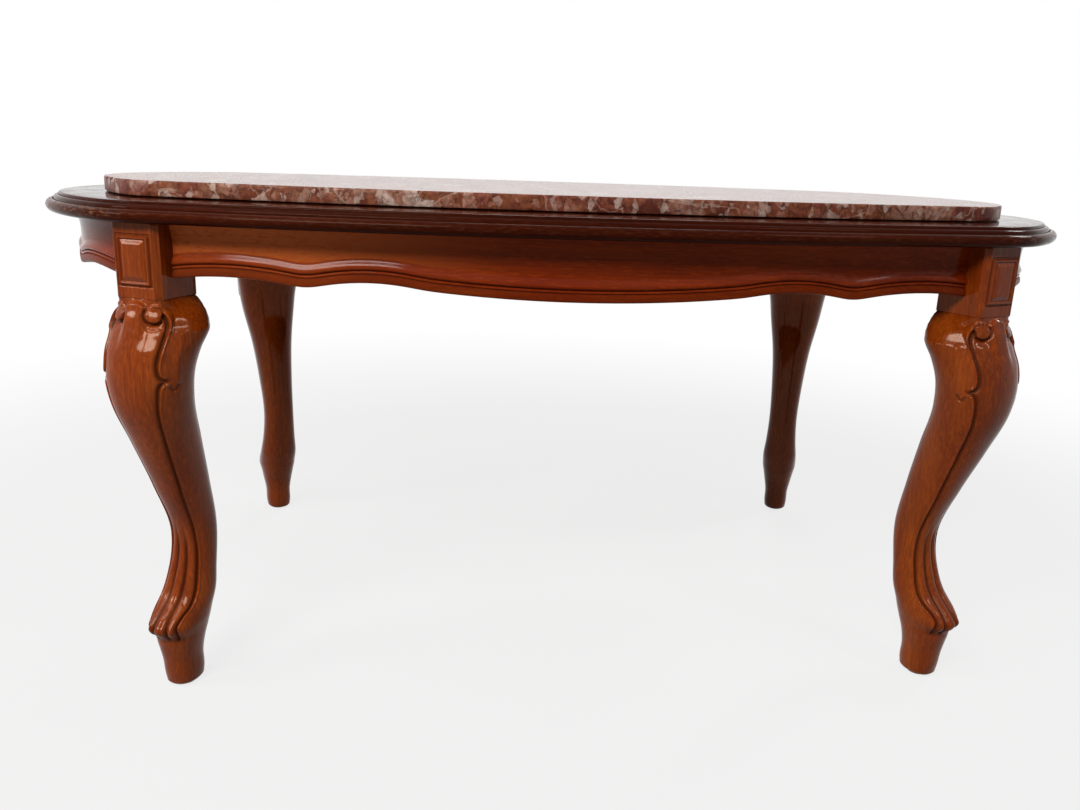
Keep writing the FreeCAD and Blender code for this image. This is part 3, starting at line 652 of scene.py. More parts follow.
# Cuts along the knee and the shank: depth, width of the gentle side, width of the wall and height of its lip;
# and the shares of the line's length over which they grow and fade.
KNEE_CUT = (2.9, 3.2, 1.2, 1.1)
KNEE_SPAN = ((0, 0.06), (1, 0.96))
SHANK_CUT = (2.4, 2.9, 1.1, 0.9)
SHANK_START = (0, 0.025)
LIP_OFFSET = 0.6
LIP_WIDTH = 1.3
LIP_LOST_DEPTH = 0.6

# Grooves and ribs along the other lines: height and width.
TOE_GROOVE = (-2.3, 1.9)
TOE_GROOVE_START = (176, 140)
TIP_GROOVE = (-1.5, 1.3)
LEAF_RIB = (1.0, 2.8)

# The hollow in the middle of the leaf: place, half widths and depth.
LEAF_MIDDLE = (61, 353)
LEAF_HOLLOW = ((5, 13), -1.5)

# The scroll as seen straight on: its middle on the leg, the disc, and the band that uncurls over the disc
# by the angle about the middle, with the band's inner and outer edge.
SCROLL_MIDDLE = (34.5, 392.5)
SCROLL_REACH = 100
DISC_RADIUS = 8.0
DISC_HEIGHT = 3.0
DISC_FLATNESS = 9
BAND_HEIGHT = 2.7
BAND_SPAN = ((-58, -42), (150, 105))
BAND = np.array((
    (-56, 20.3, 23.5),
    (-42, 15.9, 20),
    (-24, 12, 17.9),
    (-8, 9.4, 17.8),
    (15, 7, 16.4),
    (40, 5.9, 13.8),
    (74, 5.6, 10.6),
    (110, 5.6, 9.4),
    (150, 5.8, 8),
))

# The cut round the disc: depth and width, distance from the disc, the side it lies on and where it sets in.
DISC_CUT = (-2.2, 1.3)
DISC_CUT_DISTANCE = 1.2
DISC_CUT_SIDE = (-0.57, -0.82)
DISC_CUT_GROWS = (-0.35, 0.25)

# The hollow below the disc: place, half widths and depth.
DISC_HOLLOW_PLACE = (-0.8, -10.8)
DISC_HOLLOW = ((7.6, 3.9), -1.7)

# The ridge of the shield: top and bend of its arch, how steep its edge is, and where it grows and fades.
CREST_TOP = 405.6
CREST_BEND = 0.035
CREST_EDGE = (-0.3, 4.2)
CREST_GROWS = (350, 386)
CREST_FADES = (18, 6)
CREST_HEIGHT = 4.4

# Ribs of the toes: height, a bulb at their tips, where they grow and fade, and the shade below the tips.
TOE_RIB_HEIGHT = 1.5
TOE_BULB = (1.1, 7)
TOE_BULB_LEVEL = 70
TOE_SPAN = ((165, 112), (57, 67))
TOE_EDGE_BELOW = 320
UNDER_TOES_SPAN = ((55, 59), (69, 64))
UNDER_TOES_ANGLES = (52, 40)
UNDER_TOES_SHADE = 0.7

# The depth at which the painted shade of a hollow is darkest.
FULL_SHADE_DEPTH = 2.2

# Columns of the leg's mesh: how many on half of the post's face, the step over its chamfer, then the angle
# and step of the further spans.
FACE_COLUMNS = 35
CHAMFER_STEP = 0.45
SIDE_SPANS = ((72, 0.8), (116, 1.6), (180, 3.2))

# Rows of the leg's mesh: from and to a height, and the step; then the rows of the post.
LEG_ROWS = ((3, 8, 0.8), (8, 48, 4), (48, 60, 1.5), (60, 104, 0.9), (104, 318, 2.4), (318, 405.6, 0.75))
PANEL_ROWS = ((416.2, 427.5, 0.6), (429, 453, 3.5), (454.6, 466, 0.6))
POST_LOW_ROWS = (POST_FOOT, POST_FOOT + 0.6, 410, 414)
POST_HIGH_ROWS = (468, 472, 474.4, FRAME_HEIGHT)
POST_EASE = 0.6

# The column that follows the knee and shank lines, the column up to which the others make room for it, the
# heights at which it follows them and those at which it keeps its own angle.
LINE_COLUMN = 45
ROOM_COLUMN = 135
SHANK_FOLLOWED_BELOW = 330
KNEE_FOLLOWED = (345, 388)
PLAIN_LEVELS = (3, 50, 400, 406)

# Relief and shade of the panel on a post's face, by the distance inside its edge.
PANEL_RELIEF = (
    (-2.4, 0), (-1.7, -0.9), (-0.6, -0.9), (0, 0.7), (0.6, 1.7), (1.5, 1.9), (2.3, 1.5), (2.8, 0.5),
    (3.2, 0.4), (7, 2.3), (7.8, 2.5), (40, 2.5),
)
PANEL_SHADE = ((-2.2, 0), (-1.5, 0.5), (-0.4, 0.5), (0.2, 0), (2.2, 0), (2.9, 0.5), (3.6, 0))

SMALL = 0.01
SMALL_ANGLE = 1e-6


def by_height(table, column, heights):
    return through(heights, table[:, 0], table[:, column])


def angle_of(line, heights):
    """A line's angle by height; the line runs downwards."""
    angles, levels = np.array(line)[::-1].T
    return through(heights, levels, angles)[:, None]


def mean_radius(heights):
    """Mean of half the depth and half the width of the leg."""
    front, back, half_width = (by_height(LEG_SECTIONS, i, heights) for i in (1, 2, 3))
    return ((front - back) / 2 + half_width) / 2


def flattened(corners):
    """Points given by angle and height, in millimetres round the leg and up it."""
    angles, heights = np.asarray(corners, float).T
    return np.column_stack((np.radians(angles) * mean_radius(heights), heights))


def dense(points):
    """Points close together along a smooth line through a few."""
    run = lengths(points)
    places = np.linspace(0, run[-1], int(run[-1] / LINE_STEP) + 2)
    return np.column_stack((through(places, run, points[:, 0]), through(places, run, points[:, 1])))


def from_line(line, round_leg, heights):
    """Distance of each point of the grid from a line, its side of it and how far along the line it is."""
    tangents = np.gradient(line, axis=0)
    step = np.hypot(*tangents[0])
    far = np.full(round_leg.shape, float(LINE_REACH))
    offset = np.full(round_leg.shape, float(LINE_REACH))
    along = np.zeros(round_leg.shape)
    for i, (point, tangent) in enumerate(zip(line, tangents / np.hypot(*tangents.T)[:, None])):
        rows = slice(*np.searchsorted(heights, (point[1] - LINE_REACH, point[1] + LINE_REACH)))
        dx = round_leg[rows] - point[0]
        dz = heights[rows, None] - point[1]
        distance = np.hypot(dx, dz)
        near = distance < far[rows]
        far[rows][near] = distance[near]
        offset[rows][near] = (tangent[0] * dz - tangent[1] * dx)[near]
        along[rows][near] = i / (len(line) - 1)
    past_end = np.maximum(np.sqrt(np.maximum(far ** 2 - offset ** 2, 0)) - step, 0)
    return np.hypot(offset, past_end), offset, along


def incision(field, depth, slope, wall, lip):
    """A cut that falls gently on the front side and has a steep wall with a raised lip on the other."""
    distance, offset, _ = field
    gentle = rounded(distance, -depth, slope)
    edge = rounded(distance - wall - LIP_OFFSET, lip, LIP_WIDTH) * ramp(distance, 0, wall)
    steep = -depth * np.clip(1 - distance / wall, 0, 1) + edge
    return np.where(offset > 0, steep, gentle)


def leg_columns():
    """Angles round the leg from the front, in degrees, closest where the carving runs."""
    half = POST_SIZE / 2
    face = half - POST_CHAMFER
    front = np.degrees(np.arctan2(np.linspace(0, face, FACE_COLUMNS), half))
    arris = math.degrees(math.atan2(half, face))
    runs = [front]
    low = front[-1]
    for high, step in ((arris, CHAMFER_STEP), *SIDE_SPANS):
        runs.append(np.linspace(low, high, round((high - low) / step) + 1))
        low = high
    right = np.unique(np.round(np.concatenate(runs), 7))
    return np.concatenate((-right[-2:0:-1], right))


def stepped(spans):
    return [np.arange(low, high, step) for low, high, step in spans]


def bend_columns(degrees, heights):
    """Angles shifted so that one column of the mesh follows the knee and shank lines."""
    low, high = KNEE_FOLLOWED
    followed = [(z, angle) for angle, z in SHANK_LINE if z < SHANK_FOLLOWED_BELOW]
    followed += [(z, angle) for angle, z in KNEE_LINE if low < z < high]
    plain = [(z, LINE_COLUMN) for z in PLAIN_LEVELS]
    place = through(heights, *np.array(sorted(followed + plain)).T)[:, None]
    turn = np.abs(degrees)[None, :]
    inside = turn * place / LINE_COLUMN
    outside = place + (turn - LINE_COLUMN) * (ROOM_COLUMN - place) / (ROOM_COLUMN - LINE_COLUMN)
    bent = np.where(turn < LINE_COLUMN, inside, np.where(turn < ROOM_COLUMN, outside, turn))
    return bent * np.sign(degrees)


def bare_leg(degrees, heights):
    """Points of the leg before it is carved."""
    front, back, half_width = (by_height(LEG_SECTIONS, i, heights)[:, None] for i in (1, 2, 3))
    square_front, square_back = (by_height(SQUARENESS, i, heights)[:, None] for i in (1, 2))
    behind = ramp(np.abs(degrees), *EAR_ANGLES)
    half_width = half_width - by_height(EARS, 1, heights)[:, None] * (1 - behind)
    power = square_front + (square_back - square_front) * behind
    angle = np.radians(degrees)
    radius = (np.abs(np.sin(angle) / half_width) ** power
              + np.abs(np.cos(angle) * 2 / (front - back)) ** power) ** (-1 / power)
    level = np.broadcast_to(heights[:, None], radius.shape)
    y = -(front + back) / 2 - radius * np.cos(angle)
    return np.stack((radius * np.sin(angle), y, level), axis=-1)


def seen_at(place, points):
    """How far points are across and up from a place on the leg, looking straight at the place."""
    angle, height = place
    degrees = np.array(((angle,), (angle + 1,), (angle,)))
    heights = np.array((height, height, height + 1))
    middle, beside, above = bare_leg(degrees, heights)[:, 0]
    across = (beside - middle) / np.linalg.norm(beside - middle)
    up = above - middle - across * ((above - middle) @ across)
    up /= np.linalg.norm(up)
    return (points - middle) @ across, (points - middle) @ up


def scroll(across, up):
    """A disc and the band that uncurls over its top."""
    out = np.hypot(across, up)
    turn = np.degrees(np.arctan2(up, across))
    disc = DISC_HEIGHT * np.clip(1 - (out / DISC_RADIUS) ** DISC_FLATNESS, 0, 1)
    inner, outer = (np.interp(turn, BAND[:, 0], BAND[:, i]) for i in (1, 2))
    share = np.clip((out - inner) / (outer - inner), 0, 1)
    section = np.where(share < 0.5, 1 - np.abs(2 * share - 1) ** 3, np.cos(math.pi * (share - 0.5)) ** 2)
    band = BAND_HEIGHT * section * window(turn, *BAND_SPAN)
    return np.maximum(disc, band)


def under_disc(across, up):
    """The cut round the lower side of the scroll's disc."""
    out = np.hypot(across, up)
    below = (DISC_CUT_SIDE[0] * across + DISC_CUT_SIDE[1] * up) / np.maximum(out, SMALL)
    return rounded(out - DISC_RADIUS - DISC_CUT_DISTANCE, *DISC_CUT) * ramp(below, *DISC_CUT_GROWS)


def toe_ribs(degrees, heights):
    """Rounded ribs between the lines that part the toes."""
    inner_edge = angle_of(TOE_LINE, heights)
    outer_edge = angle_of([corner for corner in SHANK_LINE if corner[1] < TOE_EDGE_BELOW], heights)
    inner_rib = np.clip(1 - (degrees / inner_edge) ** 2, 0, 1)
    share = (degrees - inner_edge) / (outer_edge - inner_edge)
    outer_rib = np.clip(4 * share * (1 - share), 0, 1)
    height = TOE_RIB_HEIGHT + rounded(heights - TOE_BULB_LEVEL, *TOE_BULB)
    return (inner_rib + outer_rib) * (height * window(heights, *TOE_SPAN))[:, None]


def under_toes(degrees, heights):
    """1 in the undercut below the tips of the toes, where shade is painted."""
    return ramp(degrees, *UNDER_TOES_ANGLES) * window(heights, *UNDER_TOES_SPAN)[:, None]


def crest(round_leg, heights):
    """The ridge of the shield, which ends in an arch between the two scrolls."""
    arch = CREST_TOP - CREST_BEND * round_leg ** 2
    rise = ramp(arch - heights[:, None], *CREST_EDGE) * ramp(heights, *CREST_GROWS)[:, None]
    return CREST_HEIGHT * rise * ramp(round_leg, *CREST_FADES)


def dimple(across, up, widths, depth):
    """A soft bump, or a hollow where the depth is negative."""
    return depth * np.exp(-(across / widths[0]) ** 2 - (up / widths[1]) ** 2)


def carved(degrees, heights):
    """Relief of the carving and the painted shade of its hollows, over the surface of the lower leg."""
    turn = np.abs(degrees)
    round_leg = np.radians(turn) * mean_radius(heights)[:, None]
    across, up = seen_at(SCROLL_MIDDLE, bare_leg(turn, heights))
    near = turn < SCROLL_REACH
    knee, shank, toe, leaf, tip = (from_line(dense(flattened(line)), round_leg, heights) for line in LINES)
    cuts = [
        incision(knee, *KNEE_CUT) * window(knee[2], *KNEE_SPAN),
        incision(shank, *SHANK_CUT) * ramp(shank[2], *SHANK_START),
        rounded(toe[0], *TOE_GROOVE) * ramp(heights, *TOE_GROOVE_START)[:, None],
        rounded(tip[0], *TIP_GROOVE),
        under_disc(across, up) * near,
    ]
    hollows = np.minimum.reduce([np.minimum(cut, 0) for cut in cuts])
    lips = sum(np.maximum(cut, 0) for cut in cuts) * np.clip(1 + hollows / LIP_LOST_DEPTH, 0, 1)
    leaf_x, leaf_z = flattened((LEAF_MIDDLE,))[0]
    forms = [
        scroll(across, up) * near,
        dimple(across - DISC_HOLLOW_PLACE[0], up - DISC_HOLLOW_PLACE[1], *DISC_HOLLOW) * near,
        dimple(round_leg - leaf_x, heights[:, None] - leaf_z, *LEAF_HOLLOW),
        crest(round_leg, heights),
        toe_ribs(turn, heights),
        rounded(leaf[0], *LEAF_RIB),
    ]
    # Painted shade: the deeper a cut, the darker it is, and dark in the undercut below the toes.
    shade = UNDER_TOES_SHADE * under_toes(turn, heights) - hollows / FULL_SHADE_DEPTH
    return hollows + lips + sum(forms), np.clip(shade, 0, 1)


def lower_leg(columns):
    """Points of the carved leg below the post, and the painted shade of its hollows."""
    heights = np.concatenate(stepped(LEG_ROWS))
    degrees = bend_columns(columns, heights)
    relief, shade = carved(degrees, heights)
    angle = np.radians(degrees)
    outwards = np.stack((np.sin(angle), -np.cos(angle), 0 * angle), axis=-1)
    return bare_leg(degrees, heights) + relief[..., None] * outwards, shade


def post(columns):
    """Points of the post with its raised panel, and the painted shade in the panel's seams."""
    rows = np.concatenate((POST_LOW_ROWS, *stepped(PANEL_ROWS), POST_HIGH_ROWS))
    height, angle = np.meshgrid(rows, np.radians(columns), indexing="ij")
    half = POST_SIZE / 2
    at_end = (height < POST_FOOT + POST_EASE / 2) | (height > FRAME_HEIGHT - POST_EASE / 2)
    ease = POST_EASE * at_end
    square = (half - ease) / np.maximum(np.abs(np.sin(angle)), np.abs(np.cos(angle)))
    bevel = (POST_SIZE - POST_CHAMFER - ease) / np.maximum(np.abs(np.sin(angle)) + np.cos(angle), SMALL)
    radius = np.minimum(square, bevel)
    x = radius * np.sin(angle)
    inside = np.minimum(PANEL_HALF_WIDTH - np.abs(x), PANEL_HALF_HEIGHT - np.abs(height - PANEL_MIDDLE))
    on_front = np.abs(angle) < math.atan2(half - POST_CHAMFER, half) + SMALL_ANGLE
    # Painted shade in the grooves round the raised panel.
    raised, shade = (np.where(on_front, np.interp(inside, *zip(*table)), 0)
                     for table in (PANEL_RELIEF, PANEL_SHADE))
    return np.stack((x, -radius * np.cos(angle) - raised, height), axis=-1), shade


def build_legs():
    """Each leg is drawn about its post's axis, its front towards -Y, then turned to its corner."""
    columns = leg_columns()
    lower, lower_shade = lower_leg(columns)
    upper, upper_shade = post(columns)
    grid = np.concatenate((lower, upper))
    points = grid.reshape(-1, 3)
    x, y, z = points.T
    none = np.zeros(len(points))
    hollow_shade = np.concatenate((lower_shade, upper_shade)).ravel()
    faces = tube_faces(*grid.shape[:2])
    for i, (name, (sign_x, sign_y, turn)) in enumerate(CORNERS.items()):
        placed = turned(points, turn) + (sign_x * POST_X, sign_y * POST_Y, 0)
        values = {"grain": grain_of(z, x, y, i, LEG_GRAIN), "hollow_shade": hollow_shade, "wear": none, "faded_and_lit": none}
        make_piece(f"carved_leg_{name}", placed, faces, f"leg_{name}", "frame", [LACQUER],
                   values)


# Aprons

# The wavy lower edge of an apron, by the distance from its middle and the depth below the frame's top: the
# middle, the point where a hump takes over from the middle arc, the cusp between the humps and the end at the
# post; and the radii of the two humps.
WAVES = {
    "front": {
        "middle": 59,
        "ogee": (150, 52),
        "cusp": (257, 54.5),
        "end": (POST_X, 54),
        "humps": (225, 360),
    },
    "end": {
        "middle": 58,
        "ogee": (80, 52.5),
        "cusp": (140, 54.5),
        "end": (POST_Y, 53),
        "humps": (75, 190),
    },
}

# The waves are softened with bell-shaped weights, at these shifts as multiples of the softening's width.
WAVE_SOFTENING = 9
WAVE_SHIFTS = np.linspace(-2, 2, 9)

# Outer profile of an apron: depth behind its face against the height above the lower edge, then
# against the share of the height from the bead to the top.
APRON_MOULDING = (
    (3.0, 0), (1.3, 0.35), (0.7, 1.2), (0.5, 3), (0.7, 5.5), (1.0, 7.2), (2.3, 7.8), (2.6, 8.4),
    (1.7, 9.0), (1.5, 9.8), (1.8, 10.5), (3.0, 11.0), (3.1, 11.7), (1.7, 12.2), (0.8, 13.2),
    (0.6, 14.2), (0.75, 15.4), (1.2, 16.6), (1.85, 17.8), (2.5, 19.0), (3.1, 20.2), (3.5, 21.4),
)
APRON_COVE = (
    (3.6, 0.06), (3.7, 0.16), (3.7, 0.3), (3.5, 0.45), (3.0, 0.6), (2.2, 0.74), (1.2, 0.86),
    (0.4, 0.95), (0.2, 0.985), (0.2, 1),
)
APRON_STEP = 3.2

# Places in the moulding: the seams beside the bead, and the bead's sloping upper side.
APRON_SEAMS = (6, 7, 11, 12)
APRON_SHOULDER = (16, 21)

# How dark the painted shade is in the seams and on the band below them; and where the front apron is paler,
# as faded stain and painted light, with what is left of that on the moulding.
APRON_SEAM_SHADE = 0.9
APRON_BAND_SHADE = 0.5
FADED_AND_LIT_SPAN = (-40, -320)
FADED_AND_LIT_MOULDING = 0.15


def sharp_wave(wave, x):
    """Depth of an apron's lower edge below the top, made of arcs."""
    sag = wave["middle"] - wave["ogee"][1]
    radius = (wave["ogee"][0] ** 2 + sag ** 2) / (2 * sag)
    depth = wave["middle"] - radius + np.sqrt(np.maximum(radius ** 2 - x ** 2, 0))
    corners = (wave["ogee"], wave["cusp"], wave["end"])
    for (x0, d0), (x1, d1), bow in zip(corners, corners[1:], wave["humps"]):
        chord = math.hypot(x1 - x0, d1 - d0)
        rise = math.sqrt(bow ** 2 - chord ** 2 / 4)
        center_x = (x0 + x1) / 2 - (d1 - d0) / chord * rise
        center_d = (d0 + d1) / 2 + (x1 - x0) / chord * rise
        hump = center_d - np.sqrt(np.maximum(bow ** 2 - (x - center_x) ** 2, 0))
        depth = np.where(x > x0, hump, depth)
    return depth


def wave_depth(kind, x):
    """Depth of an apron's lower edge below the top, softened where its arcs meet."""
    weights = np.exp(-WAVE_SHIFTS ** 2 / 2)
    depths = [sharp_wave(WAVES[kind], np.abs(x + shift * WAVE_SOFTENING)) for shift in WAVE_SHIFTS]
    return weights @ depths / weights.sum()


def apron_half(kind, depth):
    """Half length of an apron at a depth behind its face, where it meets the post; its radius and centre."""
    front = kind == "front"
    radius = (FRONT_RADIUS if front else END_RADIUS) - depth
    apex = (FRAME_WIDTH if front else FRAME_LENGTH) / 2
    corner = np.array((POST_X, -POST_Y) if front else (POST_Y, -POST_X))
    turn = math.radians(POST_TURN if front else 90 - POST_TURN)
    along = np.array((math.sin(turn), -math.cos(turn)))
    start = corner - np.array((math.cos(turn), math.sin(turn))) * POST_SIZE / 2
    center_y = radius + depth - apex
    from_center = start - (0, center_y)
    b = from_center @ along
    reach = -b + math.sqrt(b * b - from_center @ from_center + radius ** 2)
    return (start + along * reach)[0], radius, center_y


def apron_profile():
    """Depth behind the face, height above the lower edge and share of the height left, round an apron."""
    bead_top = APRON_MOULDING[-1][1]
    moulding = [(depth, above, 0) for depth, above in APRON_MOULDING]
    cove = [(depth, bead_top, share) for depth, share in APRON_COVE]
    return [(APRON_THICKNESS, 0, 0), *moulding, *cove, (APRON_THICKNESS, bead_top, 1)]


def apron_grid(kind, profile):
    """Points of an apron as it stands at the front, by place along it and round its section."""
    shares = np.linspace(-1, 1, int(2 * apron_half(kind, 0)[0] / APRON_STEP))
    grid = np.zeros((len(shares), len(profile), 3))
    for j, (depth, above, share) in enumerate(profile):
        reach, radius, center_y = apron_half(kind, depth)
        x = shares * reach
        low = FRAME_HEIGHT - wave_depth(kind, x)
        z = low + above + share * (FRAME_HEIGHT - low - above)
        grid[:, j] = np.column_stack((x, center_y - np.sqrt(radius ** 2 - x ** 2), z))
    return grid


def finish_shoulder(piece, columns):
    """The second material on the sloping upper side of the bead, which hands have rubbed."""
    first, last = APRON_SHOULDER
    for face in piece.data.polygons[:-2]:
        face.material_index = 1 if first <= face.index % columns - 1 < last else 0


def build_aprons():
    profile = apron_profile()
    shade = np.zeros(len(profile))
    # Painted shade: dark in the seams beside the bead, and a darker band below them, which gets more light
    # than the field under the overhang.
    shade[1:1 + APRON_SEAMS[0]] = APRON_BAND_SHADE
    shade[[1 + k for k in APRON_SEAMS]] = APRON_SEAM_SHADE
    fading_and_light = np.where(np.arange(len(profile)) > len(APRON_MOULDING), 1, FADED_AND_LIT_MOULDING)
    for i, (name, (kind, turn)) in enumerate(SIDES.items()):
        grid = apron_grid(kind, profile)
        points = grid.reshape(-1, 3)
        x, y, z = points.T
        # Paler towards the left end, mostly on the field under the overhang's shadow: faded stain and painted
        # light.
        faded_and_lit = (name == "front") * ramp(grid[:, :, 0], *FADED_AND_LIT_SPAN) * fading_and_light
        values = {
            "grain": grain_of(x, z, y, i, APRON_GRAIN),
            "hollow_shade": np.tile(shade, len(grid)),
            "wear": np.zeros(len(points)),
            "faded_and_lit": faded_and_lit.ravel(),
        }
        piece = make_piece(f"moulded_apron_{name}", turned(points, turn), tube_faces(*grid.shape[:2]),
                           f"apron_{name}", "frame", [RED_LACQUER, RUBBED_LACQUER], values)
        finish_shoulder(piece, len(profile))


# Dowels of the aprons' joints

DOWEL_RADIUS = 3.9
DOWEL_LENGTH = 26
DOWEL_CHAMFER = 1.2
DOWEL_FLUTES = 10
DOWEL_FLUTE_DEPTH = 0.3
DOWEL_SIDES_PER_FLUTE = 6
DOWEL_DROPS = (14, 38)


def dowel_mesh():
    """A fluted dowel along X with chamfered ends, about its middle."""
    half = DOWEL_LENGTH / 2
    rows = (
        (-half, DOWEL_RADIUS - DOWEL_CHAMFER),
        (DOWEL_CHAMFER - half, DOWEL_RADIUS),
        (half - DOWEL_CHAMFER, DOWEL_RADIUS),
        (half, DOWEL_RADIUS - DOWEL_CHAMFER),
    )
    turn = np.linspace(0, 2 * math.pi, DOWEL_SIDES_PER_FLUTE * DOWEL_FLUTES, endpoint=False)
    flutes = DOWEL_FLUTE_DEPTH * np.clip(np.cos(DOWEL_FLUTES * turn), 0, 1)
    rings = []
    for x, radius in rows:
        out = radius - flutes
        rings.append(np.column_stack((np.full(len(turn), x), out * np.cos(turn), out * np.sin(turn))))
    return np.concatenate(rings), tube_faces(len(rows), len(turn))


def build_dowels():
    shape, shape_faces = dowel_mesh()
    points = []
    faces = []
    for kind, turn in SIDES.values():
        x, radius, center_y = apron_half(kind, APRON_THICKNESS / 2)
        y = center_y - math.sqrt(radius ** 2 - x ** 2)
        lean = POST_TURN if kind == "front" else 90 - POST_TURN
        for sign in (-1, 1):
            for drop in DOWEL_DROPS:
                placed = turned(shape, sign * lean) + (sign * x, y, FRAME_HEIGHT - drop)
                first = len(points) * len(shape)
                points.append(turned(placed, turn))
                faces += [tuple(first + k for k in face) for face in shape_faces]
    make_piece("fluted_dowels", np.concatenate(points), faces, "apron_dowels", "frame",
               [BARE["dowel_wood"]], {})


# Moulded top

OUTLINE_SAMPLES = 6000
HALVINGS = 50

# Rounds of a rail's moulding: centre, radii, start angle and number of points; each ends straight up. Points
# are insets from the outline and heights above the frame.
NOSE = ((6.1, 6), (6, 6), -math.pi / 2, 19)
OVOLO = ((12.2, 12.4), (4.2, 3.8), 0, 8)
UPPER_ROUND = ((14.8, 17.2), (1.8, 1.8), 0, 6)

# Points in the grooves between the rounds: inset, height, painted shade in the hollow and wear.
LOWER_GROOVE = ((6.9, 11.9, 0.5, 0), (7.2, 11.2, 1, 0), (7.8, 11.2, 1, 0))
UPPER_GROOVE = ((12.7, 16.1, 1, 0),)

# Wear of the rounds, full on the nose above a height, and least between the ends of the top.
NOSE_WORN_ABOVE = 4.5
NOSE_LOW_WEAR = 0.25
OVOLO_WEAR = 0.15
UPPER_WEAR = 0.3
MIDDLE_WEAR = 0.1
WORN_ENDS = (390, 470)
RAIL_STEP = 5.0


class Oval:
    """The outline of the top drawn in by margins; a point of it is found by the angle of its normal."""

    def __init__(self, end_margin, side_margin):
        self.side = FRONT_RADIUS + TOP_OVERHANG - side_margin
        self.end = END_RADIUS + TOP_OVERHANG - end_margin
        self.corner = TOP_CORNER_RADIUS - end_margin
        self.side_y = self.side - (FRAME_WIDTH / 2 + TOP_OVERHANG - side_margin)
        self.end_x = FRAME_LENGTH / 2 + TOP_OVERHANG - end_margin - self.end
        # the corner arc touches both bows from inside, so its centre lies on a circle about each
        apart = math.hypot(self.end_x, self.side_y)
        to_end = self.end - self.corner
        to_side = self.side - self.corner
        along = (apart ** 2 + to_end ** 2 - to_side ** 2) / (2 * apart)
        across = math.sqrt(to_end ** 2 - along ** 2)
        self.corner_x = self.end_x - along * self.end_x / apart + across * self.side_y / apart
        self.corner_y = -(along * self.side_y / apart + across * self.end_x / apart)
        self.lean = math.atan2(self.corner_x, self.side_y + self.corner_y)
        self.sweep = math.atan2(self.corner_y, self.corner_x - self.end_x)

    def points(self, angle, inset=0.0):
        """Points drawn in by an inset, where the normal has these angles."""
        nx = np.cos(angle)
        ny = np.sin(angle)
        slope = np.arctan2(np.abs(ny), np.abs(nx))
        on_side = slope > math.pi / 2 - self.lean
        on_end = slope < self.sweep
        center_x = np.where(on_side, 0, np.where(on_end, self.end_x, self.corner_x)) * np.sign(nx)
        center_y = np.where(on_side, -self.side_y, np.where(on_end, 0, self.corner_y)) * np.sign(ny)
        radius = np.where(on_side, self.side, np.where(on_end, self.end, self.corner)) - inset
        return np.column_stack((center_x + radius * nx, center_y + radius * ny))

    def angles(self, start, stop, step):
        """Angles between two limits at which points of the outline lie evenly spaced."""
        fine = np.linspace(start, stop, OUTLINE_SAMPLES)
        run = lengths(self.points(fine))
        return np.interp(np.linspace(0, run[-1], int(run[-1] / step) + 1), run, fine)


def mitre_angle(oval, inset):
    """The normal's angle where the outline, drawn in, crosses the mitre at the front right."""
    turn = math.radians(POST_TURN)
    across = np.array((math.cos(turn), math.sin(turn)))
    low = -math.pi / 2
    high = -SMALL
    for _ in range(HALVINGS):
        middle = (low + high) / 2
        if (oval.points(np.array((middle,)), inset)[0] - (POST_X, -POST_Y)) @ across < 0:
            low = middle
        else:
            high = middle
    return low


def arc(center, radii, start, count):
    """Insets and heights along a round that ends straight up."""
    angles = np.linspace(start, math.pi / 2, count)
    return [(center[0] - radii[0] * math.cos(a), center[1] + radii[1] * math.sin(a)) for a in angles]


def top_profile():
    """Inset from the outline, height above the frame, painted shade in hollows and wear, round the section of
    a rail.
    """
    nose = [(*point, 0, 1 if point[1] > NOSE_WORN_ABOVE else NOSE_LOW_WEAR) for point in arc(*NOSE)]
    ovolo = [(*point, 0, OVOLO_WEAR) for point in arc(*OVOLO)]
    upper = [(*point, 0, UPPER_WEAR) for point in arc(*UPPER_ROUND)]
    inner = RAIL_WIDTH - REBATE_WIDTH
    ledge = TOP_THICKNESS - DECK_THICKNESS
    level = [(inset, TOP_THICKNESS, 0, 0) for inset in (RAIL_WIDTH / 2, inner)]
    rebate = [(inset, ledge, 0, 0) for inset in (inner, RAIL_WIDTH)]
    rounds = [*nose, *LOWER_GROOVE, *ovolo, *UPPER_GROOVE, *upper]
    return np.array([(RAIL_WIDTH, 0, 0, 0), *rounds, *level, *rebate])


def rail_grid(oval, profile, start, stop):
    """Points of a rail between its mitres, by place along it and round its section."""
    widest = int(np.argmin(profile[:, 0]))
    base = oval.angles(start[widest], stop[widest], RAIL_STEP)
    shares = (base - base[0]) / (base[-1] - base[0])
    grid = np.zeros((len(shares), len(profile), 3))
    for j, (inset, height, _, _) in enumerate(profile):
        place = oval.points(start[j] + shares * (stop[j] - start[j]), inset)
        grid[:, j] = np.column_stack((place, np.full(len(place), FRAME_HEIGHT + height)))
    return grid


